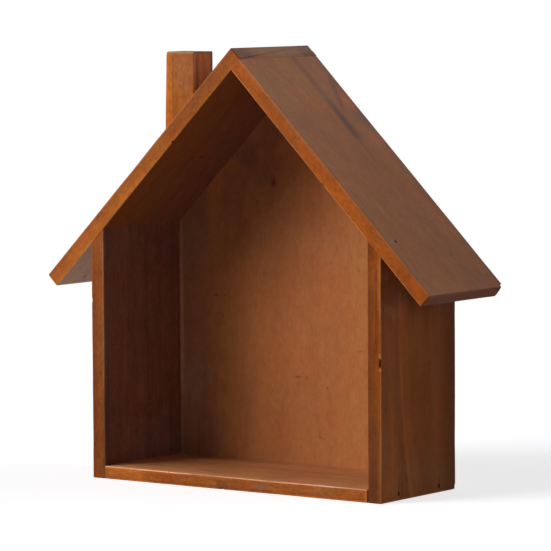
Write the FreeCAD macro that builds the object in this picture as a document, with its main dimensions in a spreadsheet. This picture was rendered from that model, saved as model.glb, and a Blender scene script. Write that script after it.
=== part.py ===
import FreeCAD, Part
import math
import os

import Sketcher

# House-shaped wall shelf of stained solid boards: two walls, a floor, two roof boards that meet
# at the ridge, a thin back panel let into the boards, and a block for a chimney. It is nailed
# together and hangs from a saw-toothed plate.
# The frame: +X to the right, +Y to the back, +Z up, the origin under the middle of the floor.

# Lengths are in millimetres and angles in degrees.
SIZES = {
    # the carcass
    "shelf_depth": 100.0,
    "outer_width": 270.0,
    "wall_thickness": 12.0,
    "wall_height": 182.0,
    "floor_thickness": 10.0,
    # the roof
    "roof_pitch": 45.0,
    "roof_thickness": 12.0,
    "eave_overhang": 49.0,
    # the eased arrises of the boards
    "arris_radius": 0.9,
    # the back panel and the rabbet that it lies in
    "panel_thickness": 3.0,
    "rabbet_width": 5.0,
    "panel_clearance": 0.25,
    # the chimney block, its top a little under the ridge
    "chimney_width": 27.0,
    "chimney_depth": 24.0,
    "chimney_offset": 76.6,
    "chimney_drop": 4.6,
    "chimney_flare": 1.6,
    "chimney_arris": 0.7,
    # finish nails, driven in until their heads lie under the surface
    "nail_shank": 1.4,
    "nail_head": 2.2,
    "nail_head_height": 1.4,
    "nail_set": 0.8,
    "nail_clearance": 0.05,
    "floor_nail_length": 30.0,
    "floor_nail_inset": 23.0,
    "eave_nail_length": 20.0,
    "eave_nail_inset": 11.3,
    "eave_nail_side": 3.7,
    "ridge_nail_length": 30.0,
    "ridge_nail_inset": 20.0,
    "chimney_nail_length": 20.0,
    "chimney_nail_spacing": 12.0,
    # panel pins, flush with the back panel
    "pin_length": 10.0,
    "pin_shank": 1.2,
    "pin_head": 2.4,
    "pin_head_height": 0.6,
    # the saw-toothed hanger and its two nails
    "hanger_length": 45.0,
    "hanger_height": 10.0,
    "hanger_gauge": 0.8,
    "hanger_lift": 1.5,
    "hanger_flat_end": 7.0,
    "hanger_ramp": 2.0,
    "tooth_depth": 1.3,
    "hanger_nail_length": 10.0,
    "hanger_nail_shank": 1.2,
    "hanger_nail_head": 3.0,
    "hanger_nail_head_height": 0.7,
    # how far a cutting body runs past the face that it opens
    "overrun": 2.0,
}

# Where the panel pins go, as shares of the way along each side of the panel.
WALL_PIN_SHARES = (0.10, 0.50, 0.90)
FLOOR_PIN_SHARES = (-0.70, 0.0, 0.70)
ROOF_PIN_SHARES = (0.34, 0.76)
HANGER_TEETH = 9

# A vertex or edge that lies this near to a plane is on it.
NEAR = 1e-4

doc = FreeCAD.newDocument("house_shelf")
sheet = doc.addObject("Spreadsheet::Sheet", "Sizes")
for row, (word, value) in enumerate(SIZES.items(), start=1):
    sheet.set("A%d" % row, word)
    sheet.set("B%d" % row, str(value))
    sheet.setAlias("B%d" % row, word)
doc.recompute()

# Places that follow from the sizes, each worked out once.
worked = doc.addObject("App::VarSet", "Worked")
WORKED_OUT = {
    "half_width": "Sizes.outer_width / 2",
    "inner_half": "Worked.half_width - Sizes.wall_thickness",
    "half_depth": "Sizes.shelf_depth / 2",
    # heights of the roof's underside at the peak, and of the ridge
    "inner_peak": "Sizes.wall_height + Worked.half_width * tan(Sizes.roof_pitch)",
    "ridge": "Worked.inner_peak + Sizes.roof_thickness / cos(Sizes.roof_pitch)",
    "wall_inner_height": "Sizes.wall_height + Sizes.wall_thickness * tan(Sizes.roof_pitch)",
    # the end of the left roof board, where it covers the right one
    "lap_across": "Sizes.roof_thickness / (2 * sin(Sizes.roof_pitch))",
    "lap_height": "Worked.inner_peak + Sizes.roof_thickness / (2 * cos(Sizes.roof_pitch))",
    # the eave's lower and upper corners
    "eave_low_across": "Worked.half_width + Sizes.eave_overhang * cos(Sizes.roof_pitch)",
    "eave_low_height": "Sizes.wall_height - Sizes.eave_overhang * sin(Sizes.roof_pitch)",
    "eave_top_across": "Worked.eave_low_across + Sizes.roof_thickness * sin(Sizes.roof_pitch)",
    "eave_top_height": "Worked.eave_low_height + Sizes.roof_thickness * cos(Sizes.roof_pitch)",
    # the middle of the panel's margin over the rabbet, where pins and hanger nails go
    "margin_mid": "Sizes.rabbet_width / 2",
    # the hanger's holes are in the middle of its flat ends, and its raised part between them
    "hanger_hole_across": "(Sizes.hanger_length - Sizes.hanger_flat_end) / 2",
    "hanger_raised_half": "Sizes.hanger_length / 2 - Sizes.hanger_flat_end - Sizes.hanger_ramp",
    "hanger_mid": "Worked.inner_peak + Worked.margin_mid / cos(Sizes.roof_pitch)"
                  " - Worked.hanger_hole_across * tan(Sizes.roof_pitch)",
    # the chimney's outline, seen from the front
    "chimney_left": "-Sizes.chimney_offset - Sizes.chimney_width / 2",
    "chimney_right": "-Sizes.chimney_offset + Sizes.chimney_width / 2",
    "chimney_top": "Worked.ridge - Sizes.chimney_drop",
    "chimney_right_foot": "Worked.ridge + Worked.chimney_right * tan(Sizes.roof_pitch)",
    "flare": "tan(Sizes.chimney_flare)",
    "chimney_left_foot_across": "(Worked.chimney_left - Worked.flare * (Worked.chimney_top - Worked.ridge))"
                                " / (1 - Worked.flare * tan(Sizes.roof_pitch))",
    "chimney_left_foot": "Worked.ridge + Worked.chimney_left_foot_across * tan(Sizes.roof_pitch)",
    "chimney_foot_mid": "(Worked.chimney_left_foot_across + Worked.chimney_right) / 2",
}
for word, formula in WORKED_OUT.items():
    worked.addProperty("App::PropertyFloat", word, "Places")
    worked.setExpression(word, formula)
doc.recompute()


def size(word):
    """A driving size, as a number."""
    return getattr(sheet, word)


def place(word):
    """A worked-out place, as a number."""
    return getattr(worked, word)


def outline(body, name, plane_role, corners, offset=None):
    """A closed sketch of straight sides on one of the body's own planes. Each corner is a pair
    of formulas, which hold its two distances from the origin."""
    plane = [f for f in body.Origin.OriginFeatures if f.Role == plane_role][0]
    sketch = body.newObject("Sketcher::SketchObject", name)
    sketch.AttachmentSupport = (plane, "")
    sketch.MapMode = "FlatFace"
    if offset:
        sketch.setExpression(".AttachmentOffset.Base.z", offset)
    count = len(corners)
    turns = [2 * math.pi * index / count for index in range(count)]
    ring = [FreeCAD.Vector(math.cos(turn), math.sin(turn), 0) for turn in turns]
    for index in range(count):
        sketch.addGeometry(Part.LineSegment(ring[index], ring[(index + 1) % count]))
    for index in range(count):
        after = (index + 1) % count
        sketch.addConstraint(Sketcher.Constraint("Coincident", index, 2, after, 1))
    for index, corner in enumerate(corners):
        for kind, formula, axis in zip(("DistanceX", "DistanceY"), corner, (-2, -1)):
            if formula == "0":
                sketch.addConstraint(Sketcher.Constraint("PointOnObject", index, 1, axis))
                continue
            start = ring[index].x if kind == "DistanceX" else ring[index].y
            held = sketch.addConstraint(Sketcher.Constraint(kind, -1, 1, index, 1, start))
            sketch.setExpression("Constraints[%d]" % held, formula)
    return sketch


def pad(body, sketch, name, length, midplane=False):
    """The sketch, made into a solid of this length."""
    feature = body.newObject("PartDesign::Pad", name)
    feature.Profile = sketch
    feature.Midplane = midplane
    feature.setExpression("Length", length)
    doc.recompute()
    return feature


def pocket(body, sketch, name, length, reverse=False, midplane=False):
    """A cut of this depth, which has to take material away."""
    before = body.Shape.Volume
    feature = body.newObject("PartDesign::Pocket", name)
    feature.Profile = sketch
    feature.Midplane = midplane
    feature.Reversed = reverse
    feature.setExpression("Length", length)
    doc.recompute()
    if not feature.Shape.Volume < before:
        raise RuntimeError("%s of %s cuts nothing" % (name, body.Label))
    return feature


def ease(body, name, radius, wanted):
    """Rounds the edges that the test picks by their middle and direction."""
    base = body.Tip
    picked = []
    for number, edge in enumerate(base.Shape.Edges, start=1):
        if wanted(edge.CenterOfMass, edge.tangentAt(edge.FirstParameter)):
            picked.append("Edge%d" % number)
    feature = body.newObject("PartDesign::Fillet", name)
    feature.Base = (base, picked)
    feature.setExpression("Radius", radius)
    doc.recompute()
    return feature


def near(value, target):
    return abs(value - target) < NEAR


def pentagon(margin):
    """The outline of the room, grown by a margin on every side: the rabbet's and the panel's."""
    across = "(Worked.inner_half + %s)" % margin
    peak = "(Worked.inner_peak + %s / cos(Sizes.roof_pitch))" % margin
    shoulder = "%s - %s * tan(Sizes.roof_pitch)" % (peak, across)
    foot = "Sizes.floor_thickness - %s" % margin
    return [("-1 * %s" % across, foot), (across, foot), (across, shoulder), ("0", peak),
            ("-1 * %s" % across, shoulder)]


def rabbet(body):
    """The step along the board's inner back edge, as deep as the panel is thick."""
    sketch = outline(body, "rabbet_outline", "XZ_Plane", pentagon("Sizes.rabbet_width"),
                     "-Worked.half_depth")
    return pocket(body, sketch, "rabbet", "Sizes.panel_thickness", reverse=True)


# Nails. Each one is drawn with its head's top at the origin and its point towards +Z, then
# turned and moved to its place. Its hole is the same form, wider by the clearance.

def round_bar(name, diameter, length, start, clearance):
    bar = doc.addObject("Part::Cylinder", name)
    bar.setExpression("Radius", "%s / 2 + %s" % (diameter, clearance))
    bar.setExpression("Height", length)
    bar.setExpression(".Placement.Base.z", start)
    return bar


def nail(name, kind, length, where):
    """A nail of this kind, whose head lies as deep in its hole as the kind is set."""
    shank = round_bar(name + "_shank", kind["shank"], length, kind["set"], "0")
    head = round_bar(name + "_head", kind["head"], kind["head_height"], kind["set"], "0")
    whole = doc.addObject("Part::MultiFuse", name)
    whole.Shapes = [shank, head]
    whole.setExpression("Placement", where)
    return whole


def nail_hole(name, kind, length, where):
    """The hole that a nail leaves in the wood, open above its head."""
    gap = "Sizes.nail_clearance"
    shank = round_bar(name + "_shank", kind["shank"], length, kind["set"], gap)
    mouth = "%s + %s + %s + Sizes.overrun" % (kind["set"], kind["head_height"], gap)
    head = round_bar(name + "_mouth", kind["head"], mouth, "-Sizes.overrun", gap)
    whole = doc.addObject("Part::MultiFuse", name)
    whole.Shapes = [shank, head]
    whole.setExpression("Placement", where)
    return whole


FINISH_NAIL = {
    "shank": "Sizes.nail_shank",
    "head": "Sizes.nail_head",
    "head_height": "Sizes.nail_head_height",
    "set": "Sizes.nail_set",
}
PANEL_PIN = {
    "shank": "Sizes.pin_shank",
    "head": "Sizes.pin_head",
    "head_height": "Sizes.pin_head_height",
    "set": "0",
}
HANGER_NAIL = {
    "shank": "Sizes.hanger_nail_shank",
    "head": "Sizes.hanger_nail_head",
    "head_height": "Sizes.hanger_nail_head_height",
    "set": "0",
}


def nail_row(label, kind, length, places):
    """A group of like nails, and the holes for them."""
    nails = []
    holes = []
    for number, where in enumerate(places, start=1):
        nails.append(nail("%s_%d" % (label, number), kind, length, where))
        holes.append(nail_hole("%s_hole_%d" % (label, number), kind, length, where))
    group = doc.addObject("Part::Compound", label)
    group.Links = nails
    return group, holes


def turned(across, along, height, angle):
    """A nail's place. Unturned it points up, at 90 to the right, and at 180 down."""
    return ("placement(vector(%s; %s; %s); rotation(vector(0; 1; 0); %s))"
            % (across, along, height, angle))


def backwards(across, along, height):
    """The place of a nail that is driven in from behind, towards -Y."""
    return "placement(vector(%s; %s; %s); rotation(vector(1; 0; 0); 90))" % (across, along, height)


# Floor nails: through the walls into the ends of the floor, at half the floor's thickness.
floor_rows = {}
for side, word, angle in ((-1, "left", "90"), (1, "right", "-90")):
    places = []
    for end in (-1, 1):
        along = "%d * (Worked.half_depth - Sizes.floor_nail_inset)" % end
        places.append(turned("%d * Worked.half_width" % side, along, "Sizes.floor_thickness / 2", angle))
    floor_rows[side] = nail_row(word + "_floor_nails", FINISH_NAIL, "Sizes.floor_nail_length", places)

# Eave nails: square to the slope, through the roof boards into the tops of the walls.
eave_rows = {}
for side, word, angle in ((-1, "left", "180 - Sizes.roof_pitch"), (1, "right", "180 + Sizes.roof_pitch")):
    entry = "(Worked.half_width - Sizes.eave_nail_side * cos(Sizes.roof_pitch)"
    across = entry + " + Sizes.roof_thickness * sin(Sizes.roof_pitch))"
    height = "Worked.ridge - %s * tan(Sizes.roof_pitch)" % across
    places = []
    for end in (-1, 1):
        along = "%d * (Worked.half_depth - Sizes.eave_nail_inset)" % end
        places.append(turned("%d * %s" % (side, across), along, height, angle))
    eave_rows[side] = nail_row(word + "_eave_nails", FINISH_NAIL, "Sizes.eave_nail_length", places)

# Ridge nails: square to the left slope, through the left board into the end of the right one.
lap_mid_across = "Worked.lap_across / 2 - Sizes.roof_thickness * sin(Sizes.roof_pitch)"
lap_mid_height = ("(Worked.inner_peak + Worked.lap_height) / 2"
                  " + Sizes.roof_thickness * cos(Sizes.roof_pitch)")
ridge_places = []
for end in (-1, 1):
    along = "%d * (Worked.half_depth - Sizes.ridge_nail_inset)" % end
    ridge_places.append(turned(lap_mid_across, along, lap_mid_height, "180 - Sizes.roof_pitch"))
ridge_nails, ridge_holes = nail_row("ridge_nails", FINISH_NAIL, "Sizes.ridge_nail_length", ridge_places)

# Chimney nails: from inside, up through the left roof board into the chimney's foot.
under_across = "(Worked.chimney_foot_mid + Sizes.roof_thickness * sin(Sizes.roof_pitch))"
under_height = "Worked.inner_peak + %s * tan(Sizes.roof_pitch)" % under_across
chimney_places = []
for end in (-1, 1):
    along = "%d * Sizes.chimney_nail_spacing / 2" % end
    chimney_places.append(turned(under_across, along, under_height, "-Sizes.roof_pitch"))
chimney_nails, chimney_holes = nail_row("chimney_nails", FINISH_NAIL, "Sizes.chimney_nail_length",
                                        chimney_places)

# Panel pins: from behind, through the panel's margin into the boards.
pin_places = []
for side in (-1, 1):
    across = "%d * (Worked.inner_half + Worked.margin_mid)" % side
    for share in WALL_PIN_SHARES:
        height = "Sizes.floor_thickness + %g * (Sizes.wall_height - Sizes.floor_thickness)" % share
        pin_places.append(backwards(across, "Worked.half_depth", height))
    for share in ROOF_PIN_SHARES:
        across = "%g * Worked.inner_half" % (side * share)
        height = ("Worked.inner_peak + Worked.margin_mid / cos(Sizes.roof_pitch)"
                  " - %g * Worked.inner_half * tan(Sizes.roof_pitch)" % share)
        pin_places.append(backwards(across, "Worked.half_depth", height))
for share in FLOOR_PIN_SHARES:
    height = "Sizes.floor_thickness - Worked.margin_mid"
    pin_places.append(backwards("%g * Worked.inner_half" % share, "Worked.half_depth", height))
panel_pins, pin_holes = nail_row("back_panel_pins", PANEL_PIN, "Sizes.pin_length", pin_places)

# Hanger nails: through the hanger's ends and the panel's margin into the roof boards.
hanger_places = []
for side in (-1, 1):
    along = "Worked.half_depth + Sizes.hanger_gauge + Sizes.hanger_nail_head_height"
    across = "%d * Worked.hanger_hole_across" % side
    hanger_places.append(backwards(across, along, "Worked.hanger_mid"))
hanger_nails, hanger_holes = nail_row("hanger_nails", HANGER_NAIL, "Sizes.hanger_nail_length",
                                      hanger_places)


def bored(body, label, holes):
    """The finished board: its body with the nail holes cut."""
    body.Label = label + "_uncut"
    tool = doc.addObject("Part::Compound", label + "_holes")
    tool.Links = holes
    cut = doc.addObject("Part::Cut", label)
    cut.Base = body
    cut.Tool = tool
    return cut


# Walls: upright boards, their tops bevelled to lie against the roof.
def wall(side, label, holes):
    body = doc.addObject("PartDesign::Body", label + "_body")
    corners = [("%d * Worked.inner_half" % side, "0"),
               ("%d * Worked.half_width" % side, "0"),
               ("%d * Worked.half_width" % side, "Sizes.wall_height"),
               ("%d * Worked.inner_half" % side, "Worked.wall_inner_height")]
    sketch = outline(body, "wall_outline", "XZ_Plane", corners)
    pad(body, sketch, "board", "Sizes.shelf_depth", midplane=True)
    rabbet(body)

    def free_arris(middle, direction):
        upright = abs(direction.z) > 1 - NEAR
        front = near(middle.y, -place("half_depth"))
        outer = near(abs(middle.x), place("half_width"))
        foot = near(middle.z, 0)
        return (upright and (front or outer)) or (foot and (front or outer))

    ease(body, "eased_arrises", "Sizes.arris_radius", free_arris)
    return bored(body, label, holes)


# Floor: a board between the walls, its underside level with their feet.
def floor(label, holes):
    body = doc.addObject("PartDesign::Body", label + "_body")
    corners = [("-Worked.inner_half", "0"), ("Worked.inner_half", "0"),
               ("Worked.inner_half", "Sizes.floor_thickness"),
               ("-Worked.inner_half", "Sizes.floor_thickness")]
    sketch = outline(body, "floor_outline", "XZ_Plane", corners)
    pad(body, sketch, "board", "Sizes.shelf_depth", midplane=True)
    rabbet(body)

    def free_arris(middle, direction):
        lengthwise = abs(direction.x) > 1 - NEAR
        front = near(middle.y, -place("half_depth"))
        back_foot = near(middle.y, place("half_depth")) and near(middle.z, 0)
        return lengthwise and (front or back_foot)

    ease(body, "eased_arrises", "Sizes.arris_radius", free_arris)
    return bored(body, label, holes)


# Roof boards: the left one runs up to the ridge and covers the end of the right one.
def roof_board(side, label, holes):
    body = doc.addObject("PartDesign::Body", label + "_body")
    low = ("%d * Worked.eave_low_across" % side, "Worked.eave_low_height")
    top = ("%d * Worked.eave_top_across" % side, "Worked.eave_top_height")
    lap = ("Worked.lap_across", "Worked.lap_height")
    upper = ("0", "Worked.ridge") if side < 0 else lap
    lower = lap if side < 0 else ("0", "Worked.inner_peak")
    sketch = outline(body, "roof_outline", "XZ_Plane", [low, top, upper, lower])
    pad(body, sketch, "board", "Sizes.shelf_depth", midplane=True)
    rabbet(body)
    slope = math.tan(math.radians(size("roof_pitch")))

    def free_arris(middle, direction):
        front = near(middle.y, -place("half_depth"))
        back = near(middle.y, place("half_depth"))
        on_top = near(middle.z + slope * abs(middle.x), place("ridge"))
        at_eave = abs(middle.x) > place("eave_low_across") - NEAR
        at_ridge = near(middle.z, place("ridge"))
        butted_end = side > 0 and 0 < middle.x < place("lap_across")
        across_board = abs(direction.y) > 1 - NEAR
        return ((front and not butted_end) or (back and (on_top or at_eave))
                or (across_board and (at_eave or at_ridge)))

    ease(body, "eased_arrises", "Sizes.arris_radius", free_arris)
    return bored(body, label, holes)


# Back panel: a thin pentagon in the rabbets, flush with the boards' back edges.
def back_panel(label, holes):
    body = doc.addObject("PartDesign::Body", label + "_body")
    margin = "(Sizes.rabbet_width - Sizes.panel_clearance)"
    sketch = outline(body, "panel_outline", "XZ_Plane", pentagon(margin), "-Worked.half_depth")
    pad(body, sketch, "panel", "Sizes.panel_thickness")
    return bored(body, label, holes)


# Chimney: an upright block on the left slope, its left side a little out of square.
def chimney(label, holes):
    body = doc.addObject("PartDesign::Body", label + "_body")
    corners = [("Worked.chimney_left_foot_across", "Worked.chimney_left_foot"),
               ("Worked.chimney_right", "Worked.chimney_right_foot"),
               ("Worked.chimney_right", "Worked.chimney_top"),
               ("Worked.chimney_left", "Worked.chimney_top")]
    sketch = outline(body, "chimney_outline", "XZ_Plane", corners)
    pad(body, sketch, "block", "Sizes.chimney_depth", midplane=True)

    def free_arris(middle, direction):
        foot = near(middle.z, place("ridge") + middle.x * math.tan(math.radians(size("roof_pitch"))))
        return not foot

    ease(body, "eased_arrises", "Sizes.chimney_arris", free_arris)
    return bored(body, label, holes)


# Hanger: a steel strip whose middle stands off the back, with teeth along its lower edge for
# the head of a nail in the wall.
def hanger(label, holes):
    body = doc.addObject("PartDesign::Body", label + "_body")
    end = "Sizes.hanger_length / 2"
    raised = "Worked.hanger_raised_half"
    ramp = "Worked.hanger_raised_half + Sizes.hanger_ramp"
    right_half = [(end, "0"), (ramp, "0"), (raised, "Sizes.hanger_lift")]
    left_half = [("-1 * (%s)" % across, rise) for across, rise in reversed(right_half)]
    inner = right_half + left_half
    outer = [(across, "%s + Sizes.hanger_gauge" % rise) for across, rise in reversed(inner)]
    strip = outline(body, "strip_outline", "XY_Plane", inner + outer)
    pad(body, strip, "strip", "Sizes.hanger_height")
    pitch = "2 * Worked.hanger_raised_half / %d" % (HANGER_TEETH + 1)
    saw = []
    for tooth in range(HANGER_TEETH):
        share = tooth - (HANGER_TEETH - 1) / 2
        saw.append(("%g * %s" % (share - 0.5, pitch), "0"))
        saw.append(("%g * %s" % (share, pitch), "Sizes.tooth_depth"))
    last_share = HANGER_TEETH / 2
    saw.append(("%g * %s" % (last_share, pitch), "0"))
    saw.append(("%g * %s" % (last_share, pitch), "-Sizes.overrun"))
    saw.append(("%g * %s" % (-last_share, pitch), "-Sizes.overrun"))
    teeth = outline(body, "teeth_outline", "XZ_Plane", saw)
    through = "2 * (Sizes.hanger_lift + Sizes.hanger_gauge + Sizes.overrun)"
    pocket(body, teeth, "teeth", through, midplane=True)
    where = "placement(vector(0; Worked.half_depth; Worked.hanger_mid - Sizes.hanger_height / 2);" \
            " rotation(vector(0; 0; 1); 0))"
    body.setExpression("Placement", where)
    return bored(body, label, holes)


left_floor_nails, left_floor_holes = floor_rows[-1]
right_floor_nails, right_floor_holes = floor_rows[1]
left_eave_nails, left_eave_holes = eave_rows[-1]
right_eave_nails, right_eave_holes = eave_rows[1]

parts = [
    wall(-1, "left_wall", left_floor_holes + left_eave_holes + pin_holes),
    wall(1, "right_wall", right_floor_holes + right_eave_holes + pin_holes),
    floor("floor_board", left_floor_holes + right_floor_holes + pin_holes),
    roof_board(-1, "left_roof_board",
               left_eave_holes + ridge_holes + chimney_holes + pin_holes + hanger_holes),
    roof_board(1, "right_roof_board", right_eave_holes + ridge_holes + pin_holes + hanger_holes),
    back_panel("back_panel", pin_holes + hanger_holes),
    chimney("chimney", chimney_holes),
    hanger("sawtooth_hanger", hanger_holes),
    left_floor_nails, right_floor_nails, left_eave_nails, right_eave_nails,
    ridge_nails, chimney_nails, panel_pins, hanger_nails,
]
doc.recompute()

for item in doc.Objects:
    if "Invalid" in item.State or "Error" in item.State:
        raise RuntimeError("%s failed: %s" % (item.Name, item.State))
for part in parts:
    if part.Shape.isNull() or not part.Shape.isValid() or not part.Shape.Solids:
        raise RuntimeError("%s has no valid solid" % part.Label)

os.makedirs("parts", exist_ok=True)
for part in parts:
    part.Shape.exportStep("parts/%s.step" % part.Label)
    box = part.Shape.BoundBox
    print("%-20s %2d solids  %9.1f mm3  x %7.1f..%6.1f  y %6.1f..%5.1f  z %6.1f..%6.1f" % (
        part.Label, len(part.Shape.Solids), part.Shape.Volume,
        box.XMin, box.XMax, box.YMin, box.YMax, box.ZMin, box.ZMax))
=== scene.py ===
import math

import bmesh
import bpy
import numpy as np
from mathutils import Matrix, Vector


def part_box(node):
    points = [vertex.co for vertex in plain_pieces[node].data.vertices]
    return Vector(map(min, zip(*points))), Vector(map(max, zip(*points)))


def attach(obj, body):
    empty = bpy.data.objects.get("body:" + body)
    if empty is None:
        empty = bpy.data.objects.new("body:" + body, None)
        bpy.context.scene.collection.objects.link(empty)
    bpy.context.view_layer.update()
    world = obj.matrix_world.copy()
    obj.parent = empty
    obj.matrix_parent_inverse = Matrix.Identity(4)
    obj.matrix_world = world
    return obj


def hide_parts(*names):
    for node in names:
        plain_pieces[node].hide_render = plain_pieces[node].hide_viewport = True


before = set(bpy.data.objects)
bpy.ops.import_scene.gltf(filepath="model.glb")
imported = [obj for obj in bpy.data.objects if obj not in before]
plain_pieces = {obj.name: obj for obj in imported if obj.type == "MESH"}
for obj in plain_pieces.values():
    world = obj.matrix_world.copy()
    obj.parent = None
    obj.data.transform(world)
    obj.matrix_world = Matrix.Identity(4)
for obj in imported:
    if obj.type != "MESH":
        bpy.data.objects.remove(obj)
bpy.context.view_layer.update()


# The floor board. A 10 mm board that lies between the walls, its grain from left to right. Its
# arrises are rubbed down by hand, so they are a little uneven and paler, above all the top
# front one. Its right end was sawn a hair out of square, which leaves a dark line in front.

MM = 0.001
ARRIS = 0.9 * MM
RABBET_WIDE = 5.0 * MM
RABBET_DEEP = 3.0 * MM
RABBET_STOP = 0.02 * MM
FACE_WAVE = 0.04 * MM
POOL_WIDE = 2.2 * MM
STATION_STEP = 2.0 * MM
FACE_POINTS = 56
EDGE_POINTS = 10
ARC_POINTS = 7
CHIP_POINTS = 19


def ripple(place, seed):
    """A slow, seeded wave along a line or over a face: a sum of seven sines whose lengths run
    from 25 to 160 mm and whose heights go with the roots of their lengths, about 1 in size."""
    draw = np.random.default_rng(seed)
    shortest, longest, waves = 0.025, 0.16, 7
    total = np.zeros(np.broadcast(*place).shape)
    for length in np.geomspace(shortest, longest, waves):
        turn = draw.uniform(0, math.tau)
        lean = draw.uniform(-1, 1, len(place))
        lean[0] = 1
        run = sum(share * part for share, part in zip(lean, place))
        total += (length / longest) ** 0.5 * np.sin(math.tau * run / length + turn)
    return total / math.sqrt(waves)


def loft(name, rings):
    """A closed solid from a stack of like rings: a grid of quads between each ring and the
    next, and one flat face over each end."""
    stations, points = rings.shape[:2]
    corner = np.arange(stations * points).reshape(stations, points)
    after = np.roll(corner, -1, axis=1)
    quads = np.stack([corner[:-1], after[:-1], after[1:], corner[1:]], axis=-1).reshape(-1, 4)
    faces = quads.tolist() + [corner[0, ::-1].tolist(), corner[-1].tolist()]
    mesh = bpy.data.meshes.new(name)
    mesh.from_pydata(rings.reshape(-1, 3).tolist(), [], faces)
    edit = bmesh.new()
    edit.from_mesh(mesh)
    bmesh.ops.recalc_face_normals(edit, faces=edit.faces)
    edit.to_mesh(mesh)
    edit.free()
    piece = bpy.data.objects.new(name, mesh)
    bpy.context.scene.collection.objects.link(piece)
    return piece


def paint(piece, name, values):
    """Keeps one number for each point of the mesh, which the material reads by name."""
    layer = piece.data.attributes.new(name, "FLOAT", "POINT")
    layer.data.foreach_set("value", values.astype(np.float32).ravel())


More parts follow.
